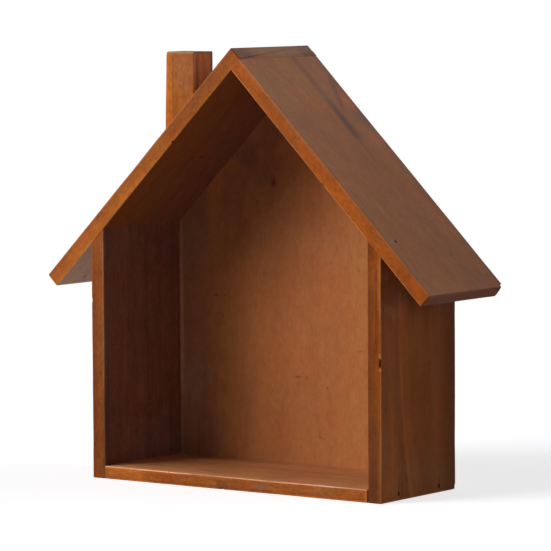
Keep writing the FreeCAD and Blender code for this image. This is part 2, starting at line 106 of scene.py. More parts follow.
def plank(name, foot, run, face, size, rubbed, gathered, seed, cuts=(0, 0), rabbet=None,
          eased=(True, True), chips=(), joints=(), arris=ARRIS):
    """A board: a cross-section carried along the grain. The section is a rectangle, thickness by
    depth, with an arc at each arris but the inner back one, which has the rabbet's step. Station
    s lies at foot + run * (start + s * (end - start)), where the two ends are cut at a slope:
    each is its place on the inner face plus its cut times the way through the board. The arcs'
    radii wander along the board and the faces wave by a few hundredths. Each chip takes a hollow
    out of an arris: (along, through, across, reach along, reach around, depth). Rub is how far
    an arris is rubbed to bare wood, or, below nought, how much stain has gathered beside it; the
    arrises count from the inner front one by the outer front one to the outer back one. In the
    joints, stretches where the inner face lies on another board, its front arris stays crisp."""
    length, thick, deep = size
    half = deep / 2
    near_end = np.array([0, 0.1, 0.3, 0.6, 1.0]) * MM
    first, last = (near_end if soft else near_end[:1] for soft in eased)
    body = np.linspace(2 * MM, length - 2 * MM, int(length / STATION_STEP))
    marks = [first, length - last, body]
    if rabbet:
        marks.append([rabbet[0], rabbet[0] + RABBET_STOP, rabbet[1] - RABBET_STOP, rabbet[1]])
    for along, _, _, reach, _, _ in chips:
        marks.append(along + reach * np.linspace(-1.1, 1.1, CHIP_POINTS))
    for begin, end in joints:
        marks.append([begin - MM, begin, begin + MM, end - MM, end, end + MM])
    stations = np.unique(np.concatenate(marks))
    stations = stations[(stations >= 0) & (stations <= length)][:, None]
    one = np.ones_like(stations)

    # how far the section is drawn in near an eased end: a quarter circle
    gap = np.minimum(stations if eased[0] else arris, length - stations if eased[1] else arris)
    gap = np.minimum(gap, arris) * one
    drawn_in = arris - np.sqrt(arris ** 2 - (arris - gap) ** 2)
    inner, front, outer = (
        arris * np.clip(1.1 + 0.3 * ripple((stations,), seed * 17 + k), 1, 1.7) for k in range(3))

    crisp = np.zeros_like(stations)
    for begin, end in joints:
        inside = np.minimum(stations - begin, end - stations)
        crisp = np.maximum(crisp, np.clip(inside / MM + 1, 0, 1))
    inner = inner * (1 - 0.85 * crisp)
    inner_rub, inner_pool = rubbed[0] * (1 - crisp), gathered[0] * (1 - crisp)

    if rabbet:
        cut_out = (stations >= rabbet[0] + RABBET_STOP) & (stations <= rabbet[1] - RABBET_STOP)
        wide, rebate = RABBET_WIDE * one, RABBET_DEEP * cut_out
    else:
        wide, rebate = 1.2 * arris * one, 0 * one
    lip = np.where(rebate > 0, wide, 0.5 * wide)
    shoulder = half - rebate
    turn = np.linspace(0, math.pi / 2, ARC_POINTS)[None, :]

    def corner(through, across, radius, begin, wear):
        """An arc round (through, across), with its normal, its roundness and its rub."""
        angle = begin + turn
        return (through + radius * np.cos(angle), across + radius * np.sin(angle),
                np.cos(angle) * one, np.sin(angle) * one, np.sin(2 * turn) * one,
                wear * np.sin(2 * turn) ** 0.6 * one)

    def side(begin, end, points, normal, pooled=(0, 0)):
        """A straight line, whose gathered stain falls off from each end by an exponential."""
        share = np.linspace(0, 1, points)[None, :-1]
        through = (begin[0] + (end[0] - begin[0]) * share) * one
        across = (begin[1] + (end[1] - begin[1]) * share) * one
        reach = np.hypot(end[0] - begin[0], end[1] - begin[1])
        near = (pooled[0] * np.exp(-share * reach / POOL_WIDE)
                + pooled[1] * np.exp((share - 1) * reach / POOL_WIDE))
        flat = np.ones_like(through)
        return through, across, normal[0] * flat, normal[1] * flat, 0 * flat, -near * flat

    parts = [
        side((0 * one, shoulder), (0 * one, inner - half), FACE_POINTS, (-1, 0), (0, inner_pool)),
        corner(inner, inner - half, inner, math.pi, inner_rub),
        side((inner, -half * one), (thick - front, -half * one), EDGE_POINTS, (0, -1),
             (inner_pool, gathered[1])),
        corner(thick - front, front - half, front, 1.5 * math.pi, rubbed[1]),
        side((thick * one, front - half), (thick * one, half - outer), FACE_POINTS, (1, 0),
             gathered[1:]),
        corner(thick - outer, half - outer, outer, 0, rubbed[2]),
        side((thick - outer, half * one), (wide, half * one), EDGE_POINTS, (0, 1)),
        side((wide, half * one), (lip, shoulder), 4, (0, 0)),
        side((lip, shoulder), (0 * one, shoulder), 4, (0, 0)),
    ]
    through, across, out_through, out_across, rounded, rub = (
        np.concatenate(part, axis=1) for part in zip(*parts))
    start = cuts[0] * through
    stop = length + cuts[1] * through
    along = start + (stop - start) * stations / length

    wave = -FACE_WAVE * np.clip(1 + ripple((along, across), seed * 31 + 5), 0, 2.5)
    shift = wave * (1 - rounded) - drawn_in
    through = through + out_through * shift
    across = across + out_across * shift
    chipped = np.zeros_like(through)
    for chip_along, chip_through, chip_across, reach, around, depth in chips:
        off = ((along - chip_along) / reach) ** 2
        off = off + ((through - chip_through) ** 2 + (across - chip_across) ** 2) / around ** 2
        hollow = np.clip(1.9 * (1 - off), 0, 1) ** 1.5
        inward = np.array([thick / 2 - chip_through, -np.sign(chip_across) * thick / 2])
        inward = inward / np.hypot(*inward)
        through = through + inward[0] * depth * hollow
        across = across + inward[1] * depth * hollow
        chipped = np.maximum(chipped, hollow)

    run, face, foot = (np.array(v, float) for v in (run, face, foot))
    backwards = np.array([0, 1.0, 0])
    rings = (foot + along[..., None] * run + through[..., None] * face
             + across[..., None] * backwards)
    piece = loft(name, rings)
    paint(piece, "rub", rub * (1 - chipped))
    paint(piece, "chip", chipped)
    return piece


def reshape(piece, change):
    """Moves the points of a finished mesh: change alters them in place, as rows of x, y, z."""
    points = np.empty(len(piece.data.vertices) * 3, dtype=np.float32)
    piece.data.vertices.foreach_get("co", points)
    points = points.reshape(-1, 3)
    change(points)
    piece.data.vertices.foreach_set("co", points.ravel())


def new_finish(name):
    """A material without any nodes yet, and its tree."""
    made = bpy.data.materials.new(name)
    made.use_nodes = True
    made.node_tree.nodes.clear()
    return made, made.node_tree


def new_group(name, inputs, outputs):
    """An empty shader group with its sockets, and its two end nodes."""
    tree = bpy.data.node_groups.new(name, "ShaderNodeTree")
    kinds = {"value": "NodeSocketFloat", "vector": "NodeSocketVector", "colour": "NodeSocketColor"}
    for word, kind, start in inputs:
        socket = tree.interface.new_socket(word, in_out="INPUT", socket_type=kinds[kind])
        socket.default_value = start
    for word, kind in outputs:
        tree.interface.new_socket(word, in_out="OUTPUT", socket_type=kinds[kind])
    return tree, tree.nodes.new("NodeGroupInput").outputs, tree.nodes.new("NodeGroupOutput").inputs


def node(tree, kind, inputs=(), **settings):
    """A node with its settings made and its inputs filled: each from a socket or a value."""
    made = tree.nodes.new(kind)
    for word, value in settings.items():
        setattr(made, word, value)
    for key, value in dict(inputs).items():
        if isinstance(value, bpy.types.NodeSocket):
            tree.links.new(value, made.inputs[key])
        else:
            made.inputs[key].default_value = value
    return made


def sums(tree, operation, a, b=0.0, c=0.0, clamp=False):
    """One step of arithmetic, by the name of its operation."""
    step = node(tree, "ShaderNodeMath", {0: a, 1: b, 2: c}, operation=operation, use_clamp=clamp)
    return step.outputs[0]


def times(tree, a, b, clamp=False):
    """a times b, held between 0 and 1 if it is clamped."""
    return sums(tree, "MULTIPLY", a, b, clamp=clamp)


def minus(tree, a, b):
    """a less b."""
    return sums(tree, "SUBTRACT", a, b)


def plus(tree, start, part, weight):
    """The start, plus the part times its weight."""
    return sums(tree, "MULTIPLY_ADD", part, weight, start)


def apart(tree, value, middle):
    """How far the value is from the middle, on either side."""
    return sums(tree, "ABSOLUTE", minus(tree, value, middle))


def split(tree, place):
    """A place's three parts: along the grain, across the board and through it."""
    return node(tree, "ShaderNodeSeparateXYZ", {0: place}).outputs


def between(tree, value, low, high, to_low=0.0, to_high=1.0):
    """A smooth step of the value from one range to another, held at its ends."""
    step = node(tree, "ShaderNodeMapRange", {"Value": value, "From Min": low, "From Max": high,
                                             "To Min": to_low, "To Max": to_high},
                interpolation_type="SMOOTHSTEP")
    return step.outputs["Result"]


def fade(tree, value, core, rim, strength=1.0):
    """The strength where the value is below the core, falling smoothly to nought at the rim."""
    return between(tree, value, core, rim, strength, 0.0)


def blend(tree, share, first, second, kind="MIX"):
    """The first colour, mixed with or multiplied by the second as far as the share says."""
    mix = node(tree, "ShaderNodeMix", {0: share, 6: first, 7: second},
               data_type="RGBA", blend_type=kind)
    return mix.outputs[2]


def stain(tree, share, colour, tint):
    """The colour multiplied by this tint, as far as the share says: a stain, and in places painted
    light or shade.
    """
    return blend(tree, share, colour, (*tint, 1), "MULTIPLY")


def cover(tree, share, colour, other):
    """The colour covered by another one, as far as the share says."""
    return blend(tree, share, colour, (*other, 1))


def scaled(tree, colour, level, share):
    """The colour times a level, as far as the share says."""
    whole = plus(tree, 1.0, share, minus(tree, level, 1.0))
    by_level = node(tree, "ShaderNodeVectorMath", {0: colour, "Scale": whole}, operation="SCALE")
    return by_level.outputs[0]


def speckle(tree, place, stretch, detail=2.0, rough=0.5):
    """Noise about a half, whose cells are long along the grain: the place is scaled to cells."""
    cells = node(tree, "ShaderNodeVectorMath", {0: place, 1: stretch}, operation="MULTIPLY")
    noise = node(tree, "ShaderNodeTexNoise", {"Vector": cells.outputs[0], "Scale": 1.0,
                                              "Detail": detail, "Roughness": rough})
    return noise.outputs[0]


def sway(tree, place, stretch, detail=2.0, rough=0.5):
    """The same noise about nought."""
    return minus(tree, speckle(tree, place, stretch, detail, rough), 0.5)


def spot(tree, place, middle, reach, ragged, grain):
    """How far a place is from a spot's middle, in its own half sizes, with a ragged rim: below 1
    inside the spot. The middle and the half sizes are in millimetres, and a half size of nought
    means that the spot goes right through that way."""
    middle = [part * MM for part in middle]
    shares = [1 / (size * MM) if size else 0 for size in reach]
    away = node(tree, "ShaderNodeVectorMath", {0: place, 1: middle}, operation="SUBTRACT")
    away = node(tree, "ShaderNodeVectorMath", {0: away.outputs[0], 1: shares}, operation="MULTIPLY")
    far = node(tree, "ShaderNodeVectorMath", {0: away.outputs[0]}, operation="LENGTH")
    return plus(tree, far.outputs["Value"], sway(tree, place, (grain, grain, grain)), 2 * ragged)


def timber_group():
    """Stained timber, cut from a log. Place is in metres: along the grain, across the board,
    through it. The distance from the log's heart, bent by slow noise, counts the year rings,
    each dark at its outer side. Over them lie long streaks, short fibres, pores, the mottle of
    the wood and the blotches of the stain. Rubbed arrises show bare wood, and stain gathers
    beside the others, where the lacquer is thicker too."""
    tree, given, made = new_group("stained_timber", [
        ("Place", "vector", (0, 0, 0)),
        ("Heart Across", "value", 0.03), ("Heart Through", "value", 0.12),
        ("Ring Spacing", "value", 0.005), ("Waver", "value", 0.006),
        ("Rings", "value", 0.5), ("Streaks", "value", 0.5),
        ("Blotches", "value", 0.5), ("Mottle", "value", 0.5),
        ("Pale", "colour", (0.5, 0.2, 0.06, 1)), ("Deep", "colour", (0.2, 0.06, 0.02, 1)),
        ("Edge Tint", "colour", (1, 1, 1, 1)), ("End Tint", "colour", (0.75, 0.7, 0.7, 1)),
        ("Bare", "colour", (0.62, 0.30, 0.15, 1)), ("Haze", "value", 0.03),
        ("Rub", "value", 0.0), ("Chip", "value", 0.0),
        ("Edge", "value", 0.0), ("End Grain", "value", 0.0),
    ], [("Colour", "colour"), ("Roughness", "value"), ("Shine", "value"), ("Height", "value")])
    place = given["Place"]
    drift = sway(tree, place, (2.2, 11, 11), 2.0, 0.45)
    _, across, through = split(tree, place)
    across = minus(tree, across, given["Heart Across"])
    across = plus(tree, across, times(tree, drift, given["Waver"]), 3.0)
    through = minus(tree, through, given["Heart Through"])
    ray = node(tree, "ShaderNodeCombineXYZ", {1: across, 2: through}).outputs[0]
    radius = node(tree, "ShaderNodeVectorMath", {0: ray}, operation="LENGTH").outputs["Value"]
    count = sums(tree, "DIVIDE", radius, given["Ring Spacing"])
    whole = sums(tree, "FLOOR", count)
    share = minus(tree, count, whole)
    late = sums(tree, "MINIMUM", sums(tree, "POWER", share, 2.4),
                times(tree, minus(tree, 1.0, share), 5.0))
    year = node(tree, "ShaderNodeTexWhiteNoise", {"W": whole}, noise_dimensions="1D")
    late = times(tree, late, plus(tree, 0.3, year.outputs["Value"], 0.7))
    broad = speckle(tree, place, (3.0, 70, 70))
    streaks = speckle(tree, place, (9, 330, 330), 2.0, 0.6)
    fibres = speckle(tree, place, (45, 1500, 1500), 2.0, 0.6)
    pores = between(tree, speckle(tree, place, (110, 3200, 3200), 0.0), 0.64, 0.74)
    blotches = speckle(tree, place, (16, 42, 42), 3.0, 0.6)
    patches = speckle(tree, place, (75, 150, 150), 2.0, 0.6)
    mottle = speckle(tree, place, (260, 480, 480), 3.0, 0.75)

    tone = times(tree, late, given["Rings"])
    grainy = times(tree, given["Mottle"], plus(tree, 1.0, given["Edge"], 0.7))
    for layer, weight, strength in (
            (broad, 0.9, given["Streaks"]), (streaks, 0.6, given["Streaks"]),
            (fibres, 0.4, given["Streaks"]), (blotches, 1.4, given["Blotches"]),
            (patches, 1.6, grainy), (mottle, 2.4, grainy)):
        tone = plus(tree, tone, times(tree, minus(tree, layer, 0.5), strength), weight)
    tone = plus(tree, tone, pores, 0.08)
    tone = sums(tree, "ADD", tone, 0.35, clamp=True)
    colour = blend(tree, tone, given["Pale"], given["Deep"])
    redder = between(tree, speckle(tree, place, (24, 38, 38), 3.0), 0.40, 0.66)
    colour = stain(tree, redder, colour, (1.03, 0.93, 0.90))
    colour = blend(tree, given["Edge"], colour, given["Edge Tint"], "MULTIPLY")
    colour = blend(tree, given["End Grain"], colour, given["End Tint"], "MULTIPLY")

    pooled = times(tree, given["Rub"], -1.0, clamp=True)
    pooled = times(tree, pooled, between(tree, mottle, 0.3, 0.6, 0.6, 1.0))
    colour = stain(tree, pooled, colour, (0.30, 0.28, 0.34))
    bare = times(tree, given["Rub"], between(tree, blotches, 0.36, 0.62, 0.35, 1.0), clamp=True)
    colour = blend(tree, bare, colour, given["Bare"])
    colour = cover(tree, times(tree, given["Chip"], 0.92), colour, (0.030, 0.011, 0.006))
    tree.links.new(colour, made["Colour"])

    rough = plus(tree, 0.42, minus(tree, blotches, 0.5), 0.22)
    rough = plus(tree, rough, minus(tree, streaks, 0.5), 0.12)
    rough = plus(tree, rough, given["Chip"], 0.4)
    tree.links.new(plus(tree, rough, given["End Grain"], 0.18), made["Roughness"])
    shine = times(tree, given["Haze"], between(tree, blotches, 0.3, 0.7, 0.5, 1.5))
    tree.links.new(plus(tree, shine, pooled, 0.12), made["Shine"])
    height = times(tree, late, times(tree, given["Rings"], 1.2))
    for layer, weight in ((streaks, 0.4), (fibres, 0.35), (mottle, 0.5), (pores, -0.8)):
        height = plus(tree, height, layer, weight)
    tree.links.new(height, made["Height"])
    return tree


TIMBER = timber_group()
LACQUER_SHINE = 0.05
LACQUER_ROUGH = 0.3
GRAIN_RELIEF = 0.15 * MM


def timber(name, foot, lean, log_place, figure, marks, lacquer=LACQUER_SHINE):
    """The material of one board. The Mapping turns the board's own directions to the grain's:
    its foot is the origin, and lean is the grain's turn about the depth. The log place says
    where in the log the board was cut. Marks is a function that adds what only this board has,
    such as a knot: it takes the tree, the place, the colour and the shine, and gives back the
    last two."""
    made, tree = new_finish(name)
    spots = node(tree, "ShaderNodeTexCoord").outputs
    place = node(tree, "ShaderNodeMapping", {"Vector": spots["Object"], "Location": foot,
                                             "Rotation": (0, lean, 0)}, vector_type="TEXTURE")
    place = place.outputs[0]
    grainwards = (math.cos(lean), 0, -math.sin(lean))
    facing = node(tree, "ShaderNodeVectorMath", {0: spots["Normal"], 1: grainwards},
                  operation="DOT_PRODUCT")
    end = between(tree, sums(tree, "ABSOLUTE", facing.outputs["Value"]), 0.75, 0.97)
    edge = between(tree, sums(tree, "ABSOLUTE", split(tree, spots["Normal"])[1]), 0.5, 0.9)
    rub, chip = (node(tree, "ShaderNodeAttribute", attribute_name=layer).outputs["Fac"]
                 for layer in ("rub", "chip"))
    in_log = node(tree, "ShaderNodeVectorMath", {0: place, 1: log_place}, operation="ADD")
    grain = node(tree, "ShaderNodeGroup", {
        **figure, "Place": in_log.outputs[0], "Rub": rub, "Chip": chip,
        "Edge": edge, "End Grain": end}, node_tree=TIMBER).outputs
    colour, shine = marks(tree, place, grain["Colour"], grain["Shine"])
    bump = node(tree, "ShaderNodeBump", {"Height": grain["Height"], "Strength": 0.35,
                                         "Distance": GRAIN_RELIEF})
    shader = node(tree, "ShaderNodeBsdfPrincipled", {
        "Base Color": colour, "Roughness": grain["Roughness"], "Normal": bump.outputs[0],
        "Specular IOR Level": lacquer, "Coat Weight": shine, "Coat Roughness": LACQUER_ROUGH})
    node(tree, "ShaderNodeOutputMaterial", {"Surface": shader.outputs[0]})
    return made


def give(piece, material):
    """Gives a piece its one material."""
    piece.data.materials.clear()
    piece.data.materials.append(material)


def finish_board(piece, material, cad_node):
    """Dresses a board that stands for its plain solid. Its rounds shade smoothly, and edges
    sharper than 35 degrees stay sharp."""
    give(piece, material)
    piece.data.shade_smooth()
    piece.data.set_sharp_from_angle(angle=math.radians(35))
    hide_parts(cad_node)
    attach(piece, "root")


floor_low, floor_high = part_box("floor_board")
FLOOR_THICK = floor_high.z - floor_low.z
DEPTH = 2 * floor_high.y
FLOOR_GAP = 0.6 * MM
GAP_DEPTH = 25.0 * MM
floor_plank = plank(
    "floor_plank", (floor_low.x, 0, floor_high.z), (1, 0, 0), (0, 0, -1),
    (floor_high.x - floor_low.x, FLOOR_THICK, DEPTH), rabbet=(-1, 1), eased=(False, False),
    rubbed=(1.0, 0.15, 0), gathered=(0.1, 0.45, 0.3), seed=3,
    chips=[(0.062, 0, -DEPTH / 2, 0.9 * MM, 0.8 * MM, 0.3 * MM),
           (0.112, FLOOR_THICK, -DEPTH / 2, 2.5 * MM, 1.3 * MM, 0.4 * MM)])


def saw_short(points):
    """Takes the right end back: by the gap in front, and by a falling share of it behind."""
    share = np.clip((floor_low.y + GAP_DEPTH - points[:, 1]) / GAP_DEPTH, 0, 1)
    points[:, 0] -= FLOOR_GAP * share * (points[:, 0] > floor_high.x - ARRIS)


reshape(floor_plank, saw_short)


def at_front(tree, across):
    """1 on a board's front edge, and 0 behind its arrises."""
    return fade(tree, across, ARRIS - DEPTH / 2, 2 * ARRIS - DEPTH / 2)


# The faces that carry patches of stain and of painted light and shade: which way stands on the
# face, 0 along the grain, 1 across the board or 2 through it, and its level that way in
# millimetres.
FRONT_EDGE = (1, -50)
INNER_FACE = (2, 0)


def patched(tree, place, colour, face, patches, sunk=4):
    """Soft patches on one face: stain that took otherwise, and on some faces painted light and
    shade too. Each is its two places and its two half sizes on the face, in millimetres, its
    strength and its tint. Sunk is their half size through the face."""
    way, level = face
    for first, second, long, wide, strength, tint in patches:
        middle, reach = [first, second], [long, wide]
        middle.insert(way, level)
        reach.insert(way, sunk)
        far = spot(tree, place, middle, reach, 0.5, 120)
        colour = stain(tree, fade(tree, far, 0.3, 1.5, strength), colour, tint)
    return colour


def floor_patches(tree, place, colour, shine):
    """On the front edge: a grey smear of wood filler, dark patches of stain beside it, paler wood
    at the left and a thin line of wear beside the right end. The top was wiped with more lacquer,
    and along its front it is painted paler, most at the left: a painted light where the left wall's
    shadow falls. Its patches paint a highlight by the front arris and a shadow at the rear left."""
    along, across, through = split(tree, place)
    front = at_front(tree, across)
    for middle, down, long, wide, strength, shade in (
            (148, 5.2, 8.0, 2.2, 0.45, (0.17, 0.13, 0.105)),
            (112, 7.0, 6.5, 4.5, 0.5, (0.13, 0.040, 0.016)),
            (205, 6.5, 12, 3.0, 0.3, (0.20, 0.075, 0.035))):
        far = spot(tree, place, (middle, 0, -down), (long, 0, wide), 0.6, 350)
        mask = times(tree, front, fade(tree, far, 0.5, 1.3, strength))
        colour = cover(tree, mask, colour, shade)
    colour = scaled(tree, colour, between(tree, along, 0.03, 0.10, 1.18, 0.94), front)
    top = times(tree, minus(tree, 1.0, front), between(tree, through, -0.6 * MM, -0.3 * MM))
    colour = stain(tree, top, colour, (1.05, 1.26, 1.36))
    back = plus(tree, across, sway(tree, place, (10, 70, 0), 3.0, 0.6), 40 * MM)
    # Painted light: the top is made paler along its front, most at the left, where the left wall's
    # shadow falls.
    painted_light_front = times(tree, fade(tree, back, -46 * MM, -6 * MM), top)
    painted_light_front = times(tree, painted_light_front, between(tree, along, 0.02, 0.25, 1.0, 0.3))
    colour = stain(tree, painted_light_front, colour, (1.75, 1.95, 2.2))
    far_end = floor_high.x - floor_low.x - FLOOR_GAP
    off_end = apart(tree, along, far_end - 1.3 * MM)
    worn_end = times(tree, fade(tree, off_end, 0.3 * MM, 0.8 * MM, 0.2), front)
    colour = cover(tree, worn_end, colour, (0.70, 0.27, 0.085))
    colour = patched(tree, place, colour, FRONT_EDGE, (
        (205, -2, 16, 4, 0.8, (1.14, 1.30, 1.60)), (40, -3, 40, 5, 0.7, (1.03, 0.96, 0.78)),
        (118, -3, 18, 4, 0.6, (0.93, 0.96, 1.30))))
    # Patches on the top: a paler strip by the front arris, a painted highlight; a painted shadow at
    # the rear left; bluer rear corners; a paler left front.
    colour = patched(tree, place, colour, INNER_FACE, (
        (110, -47, 125, 5, 0.9, (1.26, 1.28, 1.34)), (8, 42, 14, 14, 0.8, (0.74, 1.15, 1.90)),
        (66, 36, 40, 18, 0.9, (0.80, 0.78, 0.76)), (228, 40, 12, 16, 0.7, (0.98, 1.22, 1.65)),
        (10, -20, 10, 22, 0.5, (1.15, 1.15, 1.2))))
    return colour, plus(tree, shine, top, 0.4)


floor_wood = timber("floor_wood", (floor_low.x, 0, floor_high.z), 0, (-0.45, 0, 0), {
    "Heart Across": 0.02, "Heart Through": -0.16, "Ring Spacing": 0.0048, "Waver": 0.004,
    "Rings": 0.35, "Streaks": 1.3, "Blotches": 0.85, "Mottle": 0.4,
    "Pale": (0.66, 0.235, 0.082, 1), "Deep": (0.32, 0.105, 0.034, 1),
    "Edge Tint": (0.80, 0.63, 0.24, 1), "Bare": (0.95, 0.52, 0.31, 1)}, floor_patches)
finish_board(floor_plank, floor_wood, "floor_board")


# The walls. Two 12 mm boards that stand on end beside the floor, their grain upright and their
# tops bevelled to the roof's slope. Two finish nails go through each into the floor's end, sunk
# so that their holes show as dark dots. The right one has lost a chip from its front arris.

ROOF_PITCH = math.radians(45)
wall_low, wall_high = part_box("right_wall")
WALL_THICK = wall_high.x - wall_low.x
wall_inner_height = wall_high.z
CHIP_HEIGHT = 103.8 * MM
NAIL_HEAD = 1.1 * MM
NAIL_SET = 0.8 * MM
MOUTH_SIDES = 28


def wall_board(name, foot, face, **wear):
    """An upright board, bevelled at its top, with the panel's rabbet from the floor's up."""
    return plank(name, foot, (0, 0, 1), face, (wall_inner_height, WALL_THICK, DEPTH),
                 cuts=(0, -math.tan(ROOF_PITCH)), rabbet=(FLOOR_THICK - RABBET_WIDE, 1),
                 eased=(True, False), **wear)


def mouths(cad_node, out):
    """The middles of the nails' heads in a row of nails along the depth, from the node's box:
    a disc of radius r and normal out reaches r * sqrt(1 - out^2) along each axis."""
    low, high = (np.array(corner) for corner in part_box(cad_node))
    out = np.array(out, float)
    reach = NAIL_HEAD * np.sqrt(np.clip(1 - out ** 2, 0, 1))
    head = np.where(out > 0, high - reach, low + reach)
    rows = (low[1] + NAIL_HEAD, high[1] - NAIL_HEAD)
    return [np.array([head[0], row, head[2]]) for row in rows]


def bore(piece, heads, out, radius, above, below):
    """Drills round mouths over nail heads, from below the head's top to above the surface, a
    little wider outwards, and keeps the result as the piece's own mesh."""
    edit = bmesh.new()
    turn = Vector(out).to_track_quat("Z", "Y").to_matrix().to_4x4()
    for head in heads:
        place = turn.copy()
        place.translation = Vector(head) + Vector(out) * (above - below) / 2
        bmesh.ops.create_cone(edit, cap_ends=True, segments=MOUTH_SIDES, radius1=radius * 0.94,
                              radius2=radius * 1.06, depth=above + below, matrix=place)
    mesh = bpy.data.meshes.new("drill")
    edit.to_mesh(mesh)
    edit.free()
    drill = bpy.data.objects.new("drill", mesh)
    bpy.context.scene.collection.objects.link(drill)
    cut = piece.modifiers.new("bore", "BOOLEAN")
    cut.operation = "DIFFERENCE"
    cut.solver = "EXACT"
    cut.object = drill
    graph = bpy.context.evaluated_depsgraph_get()
    bored = bpy.data.meshes.new_from_object(piece.evaluated_get(graph))
    piece.modifiers.remove(cut)
    piece.data = bored
    bpy.data.objects.remove(drill)


def nail_holes(piece, heads, out, room=0.1 * MM):
    """Opens the holes over a board's sunk nails, with this room round their heads."""
    bore(piece, heads, out, NAIL_HEAD + room, NAIL_SET + MM, 0.4 * MM)


right_wall_board = wall_board(
    "right_wall_board", (wall_low.x, 0, 0), (1, 0, 0),
    rubbed=(0.1, 0.6, 0), gathered=(0.3, 0.05, 0.7), seed=5,
    chips=[(CHIP_HEIGHT, WALL_THICK - 0.4 * MM, -DEPTH / 2, 3.9 * MM, 1.0 * MM, 0.75 * MM),
           (0.0, WALL_THICK, DEPTH / 2, 4.5 * MM, 4.0 * MM, 0.55 * MM)])
right_heads = mouths("right_floor_nails", (1, 0, 0))
nail_holes(right_wall_board, right_heads, (1, 0, 0))


